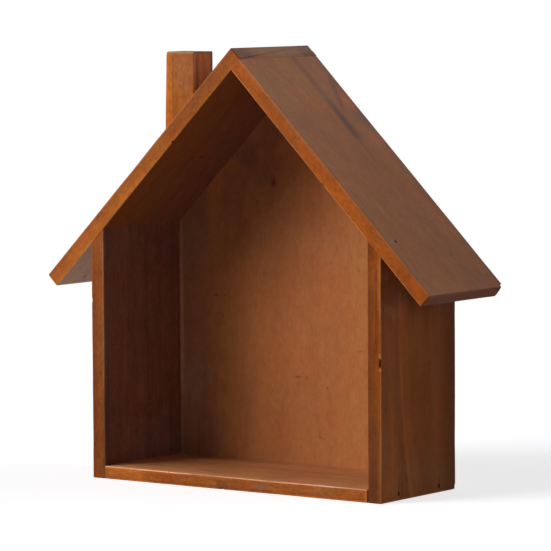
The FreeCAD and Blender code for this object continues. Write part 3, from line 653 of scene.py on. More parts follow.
def right_wall_marks(tree, place, colour, shine):
    """On the side: a pale streak that comes and goes and leans back towards the floor, by the
    square of its way down from a height of 140 mm, with a paler band behind it and a darker one
    ahead; four broad stripes, a darker rear, stain that ran from the nail holes and a paler foot.
    Then patches on the side, where the paler, bluer ones high up near the front are painted light
    that lifts the eave's shadow. On the front edge: the inner side took more stain, with a dark
    slit near its top, and the wood around the chip is bruised pale."""
    along, across, through = split(tree, place)
    wander = sway(tree, place, (25, 60, 0), 2.0)
    depth = plus(tree, across, wander, 6 * MM)
    front = at_front(tree, across)
    side = minus(tree, 1.0, front)
    down = minus(tree, 0.140, along)
    line = plus(tree, -0.025, times(tree, down, sums(tree, "MAXIMUM", down, 0.0)), 0.76)
    off = minus(tree, plus(tree, across, wander, 2 * MM), line)
    come_and_go = between(tree, speckle(tree, place, (30, 40, 0)), 0.38, 0.58, 0.25, 1.0)
    streak = fade(tree, sums(tree, "ABSOLUTE", off), 0.1 * MM, 3.2 * MM, 0.8)
    colour = stain(tree, times(tree, streak, come_and_go), colour, (1.42, 1.45, 1.4))
    behind = fade(tree, apart(tree, off, 6 * MM), 2 * MM, 7 * MM, 0.5)
    colour = stain(tree, behind, colour, (1.22, 1.25, 1.2))
    ahead = fade(tree, apart(tree, off, -8 * MM), 3 * MM, 8 * MM, 0.45)
    colour = stain(tree, ahead, colour, (0.80, 0.84, 0.95))
    for middle, half, low, high, strength, tint in (
            (25, 6, -40, 85, 0.45, (1.20, 1.10, 1.00)),
            (-34, 6, -40, 60, 0.8, (1.15, 1.05, 1.00)),
            (-22, 5, 105, 145, 0.6, (1.25, 1.07, 1.00)),
            (-43, 6, 20, 200, 0.7, (0.80, 0.95, 1.25))):
        off = apart(tree, depth, middle * MM)
        stripe = times(tree, fade(tree, off, 0.2 * half * MM, 1.4 * half * MM, strength),
                       fade(tree, along, (high - 20) * MM, (high + 20) * MM))
        stripe = times(tree, stripe, between(tree, along, (low - 20) * MM, (low + 20) * MM))
        colour = stain(tree, times(tree, stripe, side), colour, tint)
    rear = between(tree, depth, 38 * MM, 46 * MM, 0.0, 0.8)
    colour = stain(tree, rear, colour, (0.72, 0.78, 0.95))
    colour = scaled(tree, colour, between(tree, across, -DEPTH / 2, DEPTH / 2, 1.10, 0.80), side)
    for _, head_depth, head_height in np.array(right_heads) / MM:
        run = spot(tree, place, (head_height + 5, head_depth, 0), (9, 1.6, 0), 0.4, 500)
        colour = stain(tree, fade(tree, run, 0.3, 1.2, 0.5), colour, (0.55, 0.55, 0.65))
        rim = spot(tree, place, (head_height, head_depth, 0), (1.9, 1.9, 0), 0.2, 900)
        colour = cover(tree, fade(tree, rim, 0.6, 1.1, 0.85), colour, (0.012, 0.006, 0.005))
    foot = times(tree, fade(tree, along, 0.4 * MM, 1.3 * MM, 0.6), side)
    colour = cover(tree, foot, colour, (0.42, 0.19, 0.09))

    veins = sway(tree, place, (14, 0, 420), 3.0, 0.6)
    reach = plus(tree, through, veins, 16 * MM)
    reach = sums(tree, "ADD", reach, fade(tree, along, 0.03, 0.10, 2.5 * MM))
    inner = between(tree, reach, -9.5 * MM, -6.5 * MM, 0.0, 0.85)
    inner = times(tree, inner, between(tree, through, -11.2 * MM, -10.2 * MM))
    colour = stain(tree, times(tree, inner, front), colour, (0.56, 0.60, 1.7))
    chip = CHIP_HEIGHT / MM
    for height, inwards, reach, strength, shade in (
            (chip + 5.5, 11.2, (2.4, 2, 1.3), 0.6, (0.62, 0.26, 0.10)),
            (chip - 5.0, 11.2, (1.6, 2, 1.1), 0.7, (0.62, 0.27, 0.11)),
            (167, 8.2, (6.5, 2, 0.8), 0.8, (0.13, 0.022, 0.012)),
            (163, 8.6, (10, 2, 1.4), 0.35, (0.30, 0.075, 0.040))):
        far = spot(tree, place, (height, -50, -inwards), reach, 0.4, 500)
        colour = cover(tree, fade(tree, far, 0.4, 1.2, strength), colour, shade)
    # Patches on the outer side. The paler, bluer ones high up near the front are painted light,
    # which lifts the eave's shadow there. Lower down the side is bluer, paler in front and darker
    # behind.
    colour = patched(tree, place, colour, (2, -12), (
        (153, -36, 18, 22, 0.9, (1.50, 1.75, 2.50)), (174, -45, 9, 13, 0.9, (1.35, 1.50, 1.75)),
        (34, -45, 32, 7, 0.7, (1.15, 1.14, 1.32)), (143, -27, 14, 16, 0.8, (1.18, 1.28, 1.42)),
        (173, -27, 7, 14, 0.9, (1.30, 1.40, 1.60)), (100, -44, 55, 14, 0.7, (1.08, 1.10, 1.18)),
        (6, 0, 24, 70, 0.9, (1.05, 1.32, 1.80)), (42, -5, 24, 60, 0.7, (1.02, 1.18, 1.42)),
        (95, -10, 40, 30, 0.6, (0.98, 1.07, 1.25)), (110, 36, 55, 16, 0.8, (0.85, 0.87, 0.88))))
    return patched(tree, place, colour, FRONT_EDGE, (
        (170, -3, 12, 5, 0.9, (1.35, 1.30, 1.00)), (110, -3, 60, 4, 0.8, (1.10, 1.11, 1.02)),
        (130, -10, 50, 3, 0.8, (0.88, 0.83, 0.80)), (14, -6, 16, 8, 0.8, (0.72, 0.84, 1.18)),
        (48, -6, 22, 3, 0.7, (0.86, 0.98, 1.40)))), shine


right_wall_wood = timber("right_wall_wood", (wall_low.x, 0, 0), -math.pi / 2, (0.62, 0, 0), {
    "Heart Across": 0.055, "Heart Through": 0.11, "Ring Spacing": 0.0062, "Waver": 0.008,
    "Rings": 0.22, "Streaks": 0.6, "Blotches": 0.35, "Mottle": 0.25,
    "Pale": (0.258, 0.072, 0.016, 1), "Deep": (0.105, 0.028, 0.007, 1),
    "Edge Tint": (1.66, 1.51, 0.65, 1), "Bare": (0.62, 0.255, 0.08, 1), "Haze": 0.0},
    right_wall_marks, lacquer=0.015)
finish_board(right_wall_board, right_wall_wood, "right_wall")

left_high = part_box("left_wall")[1]
left_wall_board = wall_board(
    "left_wall_board", (left_high.x, 0, 0), (-1, 0, 0),
    rubbed=(0.45, 0.45, 0), gathered=(0.2, 0.25, 0.6), seed=8,
    chips=[(0.138, WALL_THICK, -DEPTH / 2, 2.0 * MM, 1.3 * MM, 0.45 * MM)])
nail_holes(left_wall_board, mouths("left_floor_nails", (-1, 0, 0)), (-1, 0, 0))


def left_wall_marks(tree, place, colour, shine):
    """Pale scratches on the inner face: a short one across it, and two long ones up its front,
    where things rubbed along it. The stain took unevenly over the inner face and the front edge,
    and low at the rear of the inner face a bluish patch is a painted fill light in its shade. The
    outer face took more stain, and the front edge is darker towards its foot."""
    for middle, reach, strength, shade in (
            ((101, -34), (0.5, 5), 0.5, (0.50, 0.20, 0.09)),
            ((62, -45.4), (42, 0.35), 0.5, (0.26, 0.14, 0.10)),
            ((45, -42.0), (34, 0.3), 0.4, (0.26, 0.14, 0.10))):
        far = spot(tree, place, (*middle, 0), (*reach, 1), 0.4, 900)
        colour = cover(tree, fade(tree, far, 0.3, 1.2, strength), colour, shade)
    # Of these inner-face patches, the bluish one low at the rear is a painted fill light in the
    # shade there; the rest are stain.
    colour = patched(tree, place, colour, INNER_FACE, (
        (30, -44, 42, 13, 0.9, (0.78, 0.83, 1.00)), (12, 22, 34, 46, 0.9, (1.10, 1.60, 2.15)),
        (66, 0, 16, 12, 0.6, (1.18, 1.35, 1.45)), (172, 32, 20, 22, 0.8, (0.87, 0.84, 0.98)),
        (120, -40, 70, 14, 0.7, (0.98, 0.94, 0.80))))
    colour = patched(tree, place, colour, FRONT_EDGE, (
        (95, 10.5, 120, 4, 0.9, (0.84, 0.71, 0.42)), (125, 0.5, 60, 2, 0.9, (1.20, 1.35, 1.55)),
        (60, 2.5, 80, 3, 0.7, (1.07, 1.15, 1.25)), (178, 6, 9, 9, 0.8, (1.08, 1.25, 1.45))))
    colour = patched(tree, place, colour, INNER_FACE, (
        (115, -46.5, 110, 3, 0.7, (0.86, 0.98, 1.25)),
        (110, 45.5, 90, 2.2, 0.6, (0.68, 0.64, 0.60))))
    along, across, through = split(tree, place)
    outside = between(tree, through, WALL_THICK - 0.6 * MM, WALL_THICK - 0.3 * MM)
    colour = stain(tree, outside, colour, (0.85, 0.56, 0.30))
    upwards = between(tree, along, 0.0, 0.18, 0.86, 1.14)
    return scaled(tree, colour, upwards, at_front(tree, across)), shine


left_wall_wood = timber("left_wall_wood", (left_high.x, 0, 0), -math.pi / 2, (-0.35, 0, 0), {
    "Heart Across": -0.03, "Heart Through": 0.14, "Ring Spacing": 0.0058, "Waver": 0.007,
    "Rings": 0.25, "Streaks": 0.8, "Blotches": 0.4, "Mottle": 0.4,
    "Pale": (0.31, 0.150, 0.090, 1), "Deep": (0.12, 0.056, 0.033, 1),
    "Edge Tint": (1.07, 0.56, 0.105, 1), "Bare": (0.62, 0.27, 0.13, 1)}, left_wall_marks)
finish_board(left_wall_board, left_wall_wood, "left_wall")


# The roof. Two 12 mm boards at right angles, their grain running down the slopes. The left one
# goes over the ridge and covers the right one's end, so its end grain shows as a strip along the
# ridge. Finish nails hold them to the walls' tops and to each other. The rear hole on the right
# slope is filled and stained over.

roof_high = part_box("right_roof_board")[1]
ROOF_THICK = 12.0 * MM
rise, fall = math.sin(ROOF_PITCH), math.cos(ROOF_PITCH)
# a box falls short of the boards' sharp corners, which point outwards, by what rounding takes
corner_lost = ARRIS * (math.sqrt(2) - 1)
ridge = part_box("left_roof_board")[1].z + corner_lost
inner_peak = ridge - ROOF_THICK / fall
slope_length = (roof_high.x + corner_lost - ROOF_THICK * rise) / fall
room_half = wall_low.x
rabbet_end = (room_half + RABBET_WIDE) / fall

right_roof_plank = plank(
    "right_roof_plank", (0, 0, inner_peak), (fall, 0, -rise), (rise, 0, fall),
    (slope_length, ROOF_THICK, DEPTH), rabbet=(-1, rabbet_end), eased=(False, True),
    rubbed=(0.65, 0.35, 0), gathered=(0.15, 0.3, 1.0), seed=12,
    joints=[(room_half / fall, wall_high.x / fall)],
    chips=[(0.118, 0, -DEPTH / 2, 1.6 * MM, 1.2 * MM, 0.35 * MM),
           (slope_length, ROOF_THICK, DEPTH / 2, 3.0 * MM, 4.5 * MM, 1.6 * MM)])
right_out = (rise, 0, fall)
front_eave_head, _ = mouths("right_eave_nails", right_out)
nail_holes(right_roof_plank, [front_eave_head], right_out, 0.15 * MM)

left_roof_plank = plank(
    "left_roof_plank", (ROOF_THICK * fall, 0, inner_peak + ROOF_THICK * rise), (-fall, 0, -rise),
    (-rise, 0, fall), (slope_length + ROOF_THICK, ROOF_THICK, DEPTH),
    rabbet=(ROOF_THICK - RABBET_WIDE, rabbet_end + ROOF_THICK),
    rubbed=(0.7, 0.4, 0), gathered=(0.1, 0.3, 0.8), seed=21,
    joints=[(ROOF_THICK + begin / fall, ROOF_THICK + end / fall)
            for begin, end in ((-ROOF_THICK * fall, 0), (room_half, wall_high.x))],
    chips=[(0.09, 0, -DEPTH / 2, 1.5 * MM, 1.1 * MM, 0.3 * MM)])
left_out = (-rise, 0, fall)
left_heads = mouths("left_eave_nails", left_out) + mouths("ridge_nails", left_out)
nail_holes(left_roof_plank, left_heads, left_out, 0.15 * MM)
under = (rise, 0, -fall)
nail_holes(left_roof_plank, mouths("chimney_nails", under), under)


# Where the right slope's stain is greener, pinker, orange, bluer or purple.
SLOPE_PATCHES = (
    (35, -36, 32, 14, 0.8, (0.92, 1.08, 1.08)), (46, -6, 14, 16, 0.7, (1.14, 1.06, 0.98)),
    (20, 0, 16, 14, 0.6, (1.08, 1.08, 1.02)), (66, -18, 10, 26, 0.8, (0.88, 0.98, 1.08)),
    (47, 43, 10, 8, 0.9, (1.45, 1.20, 0.85)), (66, 42, 9, 9, 0.8, (0.68, 0.76, 0.95)),
    (88, 38, 6, 10, 0.8, (1.35, 1.08, 0.85)), (104, 41, 6, 7, 0.7, (1.22, 0.98, 0.95)),
    (128, 22, 5, 16, 0.6, (1.12, 0.96, 0.98)), (152, 38, 8, 9, 0.7, (1.22, 1.02, 0.85)),
    (168, 42, 10, 7, 0.8, (1.25, 1.06, 0.75)), (184, 38, 8, 9, 0.6, (1.20, 1.00, 0.90)),
    (165, 8, 11, 17, 0.8, (1.00, 0.93, 1.12)), (205, -1, 15, 18, 0.8, (1.00, 0.92, 1.12)),
    (233, 20, 10, 30, 0.9, (0.88, 0.86, 1.15)), (120, -34, 22, 14, 0.6, (0.96, 1.05, 1.0)),
    (30, 5, 50, 40, 0.9, (1.07, 1.16, 1.24)), (150, -38, 95, 15, 0.9, (1.05, 1.08, 1.12)),
    (190, 32, 50, 22, 0.7, (0.95, 0.94, 0.96)), (204, -46, 9, 3, 0.7, (0.80, 1.00, 1.20)),
    (222, -44, 6, 4, 0.7, (0.82, 1.00, 1.20)), (188, -45, 5, 3, 0.6, (0.85, 1.02, 1.20)),
    (150, -46, 110, 4, 0.7, (0.94, 1.04, 1.40)))

# The streaks of heartwood, in millimetres: where each begins and ends, down the slope and in
# depth, its half widths there, how far it fades in and out, and its strength.
HEART_STREAKS = (
    ((-9, 18.0), (96, 18.5), (3.2, 5.4), (8, 26), 0.7),
    ((36, 18.5), (92, 19.5), (4.0, 8.6), (26, 14), 0.9),
    ((74, 18.0), (122, 16.5), (3.4, 2.0), (8, 26), 0.45),
    ((16, 48.0), (62, 26.0), (4.2, 3.6), (10, 14), 0.8),
    ((44, 48.0), (90, 49.0), (4.0, 4.0), (14, 20), 0.6))


def heart_streaks(tree, place, colour, shine):
    """Dark streaks of heartwood on the right slope. Each is a line across the board that leans
    as it goes down, as wide as its share of the way down says, and fades before both ends. Then
    the patches of stain on the slope and the front edge, the smear of filler beside the nail's
    hole, and the lacquer's haze. The slope is darker downwards and backwards."""
    along, across, through = split(tree, place)
    bent = plus(tree, across, sway(tree, place, (14, 30, 0), 2.0), 5 * MM)
    top = between(tree, through, 8 * MM, 11 * MM)
    for first, last, widths, fades, strength in HEART_STREAKS:
        begin, end, near, far = (part * MM for part in (first[0], last[0], first[1], last[1]))
        share = times(tree, minus(tree, along, begin), 1 / (end - begin))
        line = plus(tree, near, share, far - near)
        slim, broad = (width * MM for width in widths)
        width = plus(tree, slim, sums(tree, "MAXIMUM", share, 0.0), broad - slim)
        off = sums(tree, "DIVIDE", apart(tree, bent, line), width)
        there = times(tree, between(tree, along, begin, begin + fades[0] * MM),
                      fade(tree, along, end - fades[1] * MM, end))
        mask = times(tree, times(tree, fade(tree, off, 0.2, 1.35, strength), there), top)
        colour = stain(tree, mask, colour, (0.54, 0.43, 0.62))
    colour = patched(tree, place, colour, (2, 12), SLOPE_PATCHES)
    colour = patched(tree, place, colour, FRONT_EDGE, (
        (12, 6, 14, 8, 0.8, (1.20, 1.25, 1.05)), (140, 3, 40, 5, 0.8, (1.12, 1.20, 0.98)),
        (215, 6, 26, 8, 0.9, (0.84, 0.80, 0.72)), (160, 10.5, 55, 3, 0.8, (1.03, 0.94, 0.65)),
        (70, 6, 34, 8, 0.6, (0.92, 0.92, 1.05))))
    colour = stain(tree, top, colour, (0.87, 0.93, 0.72))
    colour = scaled(tree, colour, between(tree, along, 0.0, 0.22, 1.08, 0.93), top)
    colour = scaled(tree, colour, between(tree, across, -DEPTH / 2, DEPTH / 2, 1.05, 0.93), top)
    hole_x, hole_depth, hole_z = front_eave_head
    hole_along = (hole_x * fall - (hole_z - inner_peak) * rise) / MM
    filler = spot(tree, place, (hole_along, hole_depth / MM - 3.2, 12), (2.6, 4.2, 4), 0.4, 600)
    colour = cover(tree, fade(tree, filler, 0.5, 1.2, 0.5), colour, (0.26, 0.17, 0.13))
    haze = between(tree, bent, -46 * MM, -36 * MM, 0.24, 0.18)
    clouds = speckle(tree, place, (12, 40, 40), 3.0, 0.6)
    haze = times(tree, haze, between(tree, clouds, 0.3, 0.7, 0.75, 1.25))
    haze = times(tree, haze, between(tree, along, 0.0, 0.2, 1.25, 0.7))
    return colour, plus(tree, shine, haze, top)


WALL_PLACE = 0.200
RIDGE_END = (0, 0)


def ridge_marks(tree, place, colour, shine):
    """The left board's end, which shows along the ridge: the end grain drank more stain near the
    front and the back. The outer face took more than the inner one. Inside the room the inner face
    is painted darker, a painted shade that grows bluer towards the back. Under the eave it is
    painted paler and greyer, a painted reflection of the pale floor, and there is a dark spot of
    pitch. The change lies over the wall. The front edge is paler along its lower half."""
    along, across, through = split(tree, place)
    at_end = fade(tree, along, 0.25 * MM, 1.0 * MM)
    drift = plus(tree, sums(tree, "ABSOLUTE", across),
                 sway(tree, place, (0, 180, 260), 3.0, 0.6), 26 * MM)
    drunk = times(tree, between(tree, drift, 26 * MM, 38 * MM), at_end)
    colour = stain(tree, drunk, colour, (0.60, 0.47, 0.32))
    inside = between(tree, through, -0.6 * MM, -0.25 * MM)
    # Painted shade: inside the room the underside is darkened.
    room = times(tree, inside, fade(tree, along, WALL_PLACE - 4 * MM, WALL_PLACE))
    colour = stain(tree, room, colour, (0.62, 0.85, 1.5))
    # Painted reflection: under the eave the underside is made paler and greyer, as if it mirrored
    # the pale floor.
    eave = times(tree, inside, between(tree, along, WALL_PLACE, WALL_PLACE + 4 * MM))
    colour = stain(tree, eave, colour, (1.46, 2.45, 3.5))
    pitch = fade(tree, spot(tree, place, (243.5, -22, 0), (2.5, 2, 1), 0.3, 500), 0.4, 1.1, 0.65)
    colour = cover(tree, pitch, colour, (0.10, 0.02, 0.006))
    # More painted shade inside the room: a warmer tint that grows bluer towards the back.
    rear = times(tree, between(tree, across, -DEPTH / 2, DEPTH / 2), room)
    colour = stain(tree, room, colour, (1.05, 0.95, 0.78))
    colour = stain(tree, rear, colour, (0.86, 1.06, 2.05))
    front = at_front(tree, across)
    colour = scaled(tree, colour, between(tree, along, 0.07, 0.15, 0.84, 1.08), front)
    strip = times(tree, between(tree, through, -3.4 * MM, -2.2 * MM), front)
    colour = stain(tree, strip, colour, (1.16, 1.12, 0.72))
    colour = patched(tree, place, colour, FRONT_EDGE, (
        (42, -7, 30, 4, 0.7, (0.92, 0.92, 1.15)), (92, -6, 20, 6, 0.7, (0.95, 0.94, 0.80)),
        (185, -4, 30, 4, 0.7, (1.06, 1.14, 1.30))))
    colour = patched(tree, place, colour, INNER_FACE, ((20, 10, 26, 40, 0.5, (1.10, 1.08, 1.00)),))
    colour = patched(tree, place, colour, RIDGE_END, (
        (-8, -6, 19, 8, 0.8, (1.00, 1.12, 1.30)), (27, -5, 14, 6, 0.8, (0.92, 0.84, 0.74)),
        (-33, -3, 9, 4, 0.8, (0.84, 0.82, 0.76))), sunk=3)
    outside = fade(tree, through, 0.3 * MM - ROOF_THICK, 0.6 * MM - ROOF_THICK)
    colour = stain(tree, outside, colour, (0.78, 0.86, 0.80))
    shine = plus(tree, shine, outside, 0.15)
    shine = plus(tree, shine, at_end, 0.32)
    clear = times(tree, eave, minus(tree, 1.0, pitch))
    return colour, plus(tree, shine, clear, 0.3)


right_figure = {
    "Heart Across": 0.09, "Heart Through": -0.10, "Ring Spacing": 0.0095, "Waver": 0.011,
    "Rings": 0.08, "Streaks": 0.25, "Blotches": 0.45, "Mottle": 0.45,
    "Pale": (0.485, 0.138, 0.027, 1), "Deep": (0.233, 0.061, 0.012, 1),
    "Edge Tint": (0.97, 0.79, 0.20, 1), "End Tint": (0.30, 0.245, 0.105, 1),
    "Bare": (0.70, 0.31, 0.12, 1)}
left_figure = {
    **right_figure, "Heart Across": -0.07, "Ring Spacing": 0.0085,
    "Edge Tint": (1.02, 0.96, 0.50, 1), "End Tint": (0.80, 1.06, 1.38, 1)}
right_roof_wood = timber("right_roof_wood", (0, 0, inner_peak), ROOF_PITCH, (0, 0, 0),
                         right_figure, heart_streaks)
finish_board(right_roof_plank, right_roof_wood, "right_roof_board")
left_roof_wood = timber("left_roof_wood", (ROOF_THICK * fall, 0, inner_peak + ROOF_THICK * rise),
                        math.pi - ROOF_PITCH, (0.9, 0, 0), left_figure, ridge_marks)
finish_board(left_roof_plank, left_roof_wood, "left_roof_board")


# The back panel. A 3 mm sheet with an upright grain, dropped into the rabbets from behind and
# pinned. It bows a little. A small knot shows under the ridge, and a few resin flecks.

panel_low, panel_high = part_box("back_panel")
PANEL_THICK = panel_high.y - panel_low.y
PEAK_BLUNT = 0.4 * MM
BOW = 0.35 * MM
shoulder = panel_high.z - panel_high.x * math.tan(ROOF_PITCH)


def sheet_rings():
    """The panel, as a stack of level rings. At height z the half width is the wall's below the
    shoulder and falls to the peak along the slope above it. Each ring runs along the front face and
    back along the rear one, and the front face bows towards the room by a half cosine while the
    rear one stays flat."""
    peak = panel_high.z - PEAK_BLUNT
    low = np.linspace(panel_low.z, shoulder, 90)
    high = np.linspace(shoulder, peak, 66)[1:]
    heights = np.concatenate([low, high])[:, None]
    half = np.minimum(panel_high.x, (panel_high.z - heights) / math.tan(ROOF_PITCH))
    share = np.linspace(-1, 1, 121)[None, :]
    inset = np.linspace(0, 1, 3)[None, :]
    front_x, rear_x = half * share, half * share[:, ::-1]
    middle = (panel_low.z + panel_high.z) / 2
    tall = (panel_high.z - panel_low.z) / 2
    bow = BOW * np.cos(math.pi / 2 * share) * np.cos(math.pi / 2 * (heights - middle) / tall)
    wave = FACE_WAVE * (1 + ripple((heights, front_x), 41))
    hidden = np.clip(np.minimum(1 - np.abs(share), 0.06) / 0.06, 0, 1)
    front_y = panel_low.y - (bow + wave) * hidden
    rear_y = panel_high.y + 0 * rear_x
    side_y = panel_low.y + PANEL_THICK * inset[:, 1:-1] * np.ones_like(heights)
    side_x = half * np.ones_like(side_y)
    xs = np.concatenate([front_x, side_x, rear_x, -side_x], axis=1)
    ys = np.concatenate([front_y, side_y, rear_y, side_y[:, ::-1]], axis=1)
    return np.stack([xs, ys, heights * np.ones_like(xs)], axis=-1)


back_sheet = loft("back_sheet", sheet_rings())


def pin_heads():
    """The middles of the panel pins' heads: three up each wall and along the floor, two down
    each slope, half a rabbet outside the room."""
    margin = RABBET_WIDE / 2
    wall_top = wall_inner_height - WALL_THICK * math.tan(ROOF_PITCH)
    spots = [(share * room_half, FLOOR_THICK - margin) for share in (-0.7, 0.0, 0.7)]
    for side in (-1, 1):
        for share in (0.10, 0.50, 0.90):
            height = FLOOR_THICK + share * (wall_top - FLOOR_THICK)
            spots.append((side * (room_half + margin), height))
        for share in (0.34, 0.76):
            height = inner_peak + margin / fall - share * room_half * math.tan(ROOF_PITCH)
            spots.append((side * share * room_half, height))
    return [np.array([x, panel_high.y, z]) for x, z in spots]


bore(back_sheet, pin_heads(), (0, 1, 0), 1.3 * MM, MM, 0.6 * MM)

# Each is its place across and up the panel, its half length and half width, in millimetres, and
# how dark it is: the knot, then the flecks of resin, some in groups.
KNOT_AND_FLECKS = (
    (-30.8, 227.1, 4.2, 2.4, 0.72), (-46.1, 211.8, 2.0, 0.8, 0.5), (-86.8, 137.3, 1.0, 1.4, 0.65),
    (-78.5, 137.6, 0.8, 1.7, 0.5), (-80.5, 121.0, 1.6, 0.8, 0.35), (-8.0, 131.0, 0.8, 1.8, 0.4),
    (-40.5, 156.5, 1.5, 0.6, 0.4), (-8.8, 77.1, 0.9, 2.2, 0.55), (0.2, 77.1, 0.9, 0.8, 0.45),
    (19.2, 70.1, 1.2, 0.9, 0.6), (16.0, 72.0, 0.7, 1.4, 0.35), (49.1, 162.2, 1.4, 0.7, 0.5),
    (50.0, 100.0, 0.8, 2.4, 0.35), (12.0, 31.2, 1.0, 0.9, 0.5), (14.8, 30.4, 0.8, 1.4, 0.35))

# Patches on the panel, by its height and its way to the left. Most paint light and shade. The
# darker ones in the gable and high at the left are painted shadow of the left roof board, darkest
# in the corner under it. The bluer and paler ones low down at the left are painted fill light in
# the shadow of the left wall. The rest are paler or darker stain, and a pale line runs along the
# left edge.
PANEL_FRONT = (1, 47)
PANEL_STAIN_AND_PAINTED_LIGHT = (
    (35, 112, 50, 30, 0.95, (1.00, 1.48, 2.45)), (115, 112, 60, 30, 0.9, (1.02, 1.22, 1.68)),
    (185, 114, 26, 24, 0.8, (0.78, 0.90, 1.40)), (176, 38, 34, 48, 0.8, (0.88, 0.84, 0.87)),
    (238, 40, 22, 22, 0.9, (0.66, 0.67, 0.98)), (203, -2, 14, 22, 0.8, (0.86, 0.80, 0.75)),
    (110, -10, 50, 40, 0.6, (1.07, 1.01, 1.00)), (45, 62, 34, 10, 0.7, (0.86, 0.90, 1.08)),
    (60, 89, 80, 8, 0.8, (1.22, 1.18, 1.12)), (145, 112, 45, 9, 0.6, (0.85, 0.85, 1.00)),
    (266, 33, 14, 14, 0.8, (0.73, 0.72, 1.06)), (252, 60, 16, 11, 0.8, (0.76, 0.76, 1.06)),
    (212, 69, 24, 15, 0.8, (0.78, 0.77, 1.08)), (209, 105, 16, 12, 0.8, (0.75, 0.75, 1.0)),
    (130, 67, 50, 11, 0.5, (0.88, 0.88, 0.96)), (92, 30, 36, 26, 0.7, (1.12, 1.04, 1.02)),
    (90, -51, 110, 13, 0.9, (1.07, 1.12, 1.03)), (110, 121, 100, 1.6, 0.8, (1.50, 1.60, 1.90)))


def knot_and_flecks(tree, place, colour, shine):
    """The knot has a reddish halo, twice as long along the grain as it is wide, and a soft dark
    core. The flecks are the same in little. Then the patches of stain and of painted light and
    shade."""
    for sideways, up, long, wide, strength in KNOT_AND_FLECKS:
        far = spot(tree, place, (up, 0, -sideways), (long, 0, wide), 0.3, 900)
        halo = fade(tree, far, 0.8, 2.2, 0.4 * strength)
        colour = cover(tree, halo, colour, (0.24, 0.055, 0.016))
        core = fade(tree, far, 0.1, 1.25, strength)
        colour = cover(tree, core, colour, (0.075, 0.022, 0.012))
    return patched(tree, place, colour, PANEL_FRONT, PANEL_STAIN_AND_PAINTED_LIGHT), shine


panel_wood = timber("panel_wood", (0, 0, 0), -math.pi / 2, (0, 0, 0), {
    "Heart Across": 0.35, "Heart Through": 0.16, "Ring Spacing": 0.011, "Waver": 0.02,
    "Rings": 0.08, "Streaks": 0.27, "Blotches": 0.14, "Mottle": 0.19,
    "Pale": (0.505, 0.181, 0.055, 1), "Deep": (0.252, 0.084, 0.026, 1)}, knot_and_flecks)
finish_board(back_sheet, panel_wood, "back_panel")


# The chimney. A block about 27 by 24 mm with its grain upright, its foot cut to the slope and
# glued and nailed on from inside. Its left side was sawn a little out of square.

chimney_low, chimney_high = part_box("chimney")
CHIMNEY_WIDE = 27.0 * MM
CHIMNEY_ARRIS = 1.4 * MM
CHIMNEY_FLARE = math.tan(math.radians(1.6))
right_foot = ridge - abs(chimney_high.x) * math.tan(ROOF_PITCH)
chimney_height = chimney_high.z - right_foot
chimney_block = plank(
    "chimney_block", (chimney_high.x, 0, right_foot), (0, 0, 1), (-1, 0, 0),
    (chimney_height, CHIMNEY_WIDE, chimney_high.y - chimney_low.y), cuts=(-math.tan(ROOF_PITCH), 0),
    eased=(False, True), rubbed=(0.35, 0.2, 0), gathered=(0.1, 0.3, 0.4), seed=33,
    arris=CHIMNEY_ARRIS)


def flare(points):
    """Widens the block downwards: its left side leans out by the flare, its right one stays."""
    share = (chimney_high.x - points[:, 0]) / CHIMNEY_WIDE
    points[:, 0] -= share * (chimney_high.z - points[:, 2]) * CHIMNEY_FLARE


reshape(chimney_block, flare)


def chimney_stripes(tree, place, colour, shine):
    """Upright stripes of early and late wood: on the front each lies at its distance from the
    right side, and on the side at its depth, with its half width, its strength and its tint.
    Then patches of stain, a bluer one high up in front among them. The top's arris is rubbed
    pale in front and stained dark at the side."""
    along, across, through = split(tree, place)
    wander = sway(tree, place, (25, 60, 60), 2.0)
    front = fade(tree, across, -11.2 * MM, -10.9 * MM)
    side = minus(tree, 1.0, front)
    for face, way, stripes in (
            (front, through, (
                (23.7, 2.6, 0.9, (1.55, 1.42, 0.72)), (19.9, 1.2, 0.6, (0.78, 0.88, 1.20)),
                (10.5, 7.0, 0.7, (1.06, 1.02, 1.15)), (1.4, 1.0, 0.7, (1.12, 0.90, 0.45)))),
            (side, across, (
                (-10.3, 0.8, 0.8, (1.65, 1.60, 1.25)), (-7.6, 1.6, 0.6, (0.72, 0.68, 0.62)),
                (-4.0, 1.8, 0.6, (1.40, 1.40, 1.35)), (0.8, 1.6, 0.6, (1.25, 1.05, 0.95)),
                (4.8, 1.6, 0.6, (1.10, 1.30, 1.70)), (10.6, 1.0, 0.8, (0.40, 0.42, 0.50))))):
        where = plus(tree, way, wander, 2 * MM)
        for middle, half, strength, tint in stripes:
            off = apart(tree, where, middle * MM)
            stripe = fade(tree, off, 0.6 * half * MM, 1.4 * half * MM, strength)
            colour = stain(tree, times(tree, stripe, face), colour, tint)
    colour = patched(tree, place, colour, (1, -12), (
        (46, 10, 17, 13, 0.95, (0.97, 1.24, 4.00)), (26, 6, 13, 7, 0.6, (1.00, 1.12, 1.35)),
        (4, 14, 10, 14, 0.8, (0.88, 0.85, 0.88))))
    colour = patched(tree, place, colour, INNER_FACE, ((46, 2, 16, 14, 0.8, (1.28, 1.32, 1.20)),))
    top = between(tree, along, chimney_height - 1.7 * MM, chimney_height - 0.8 * MM)
    rubbed = times(tree, top, times(tree, front, 0.5))
    colour = cover(tree, rubbed, colour, (0.62, 0.36, 0.19))
    dark = times(tree, top, times(tree, side, 0.75))
    return cover(tree, dark, colour, (0.14, 0.09, 0.07)), shine


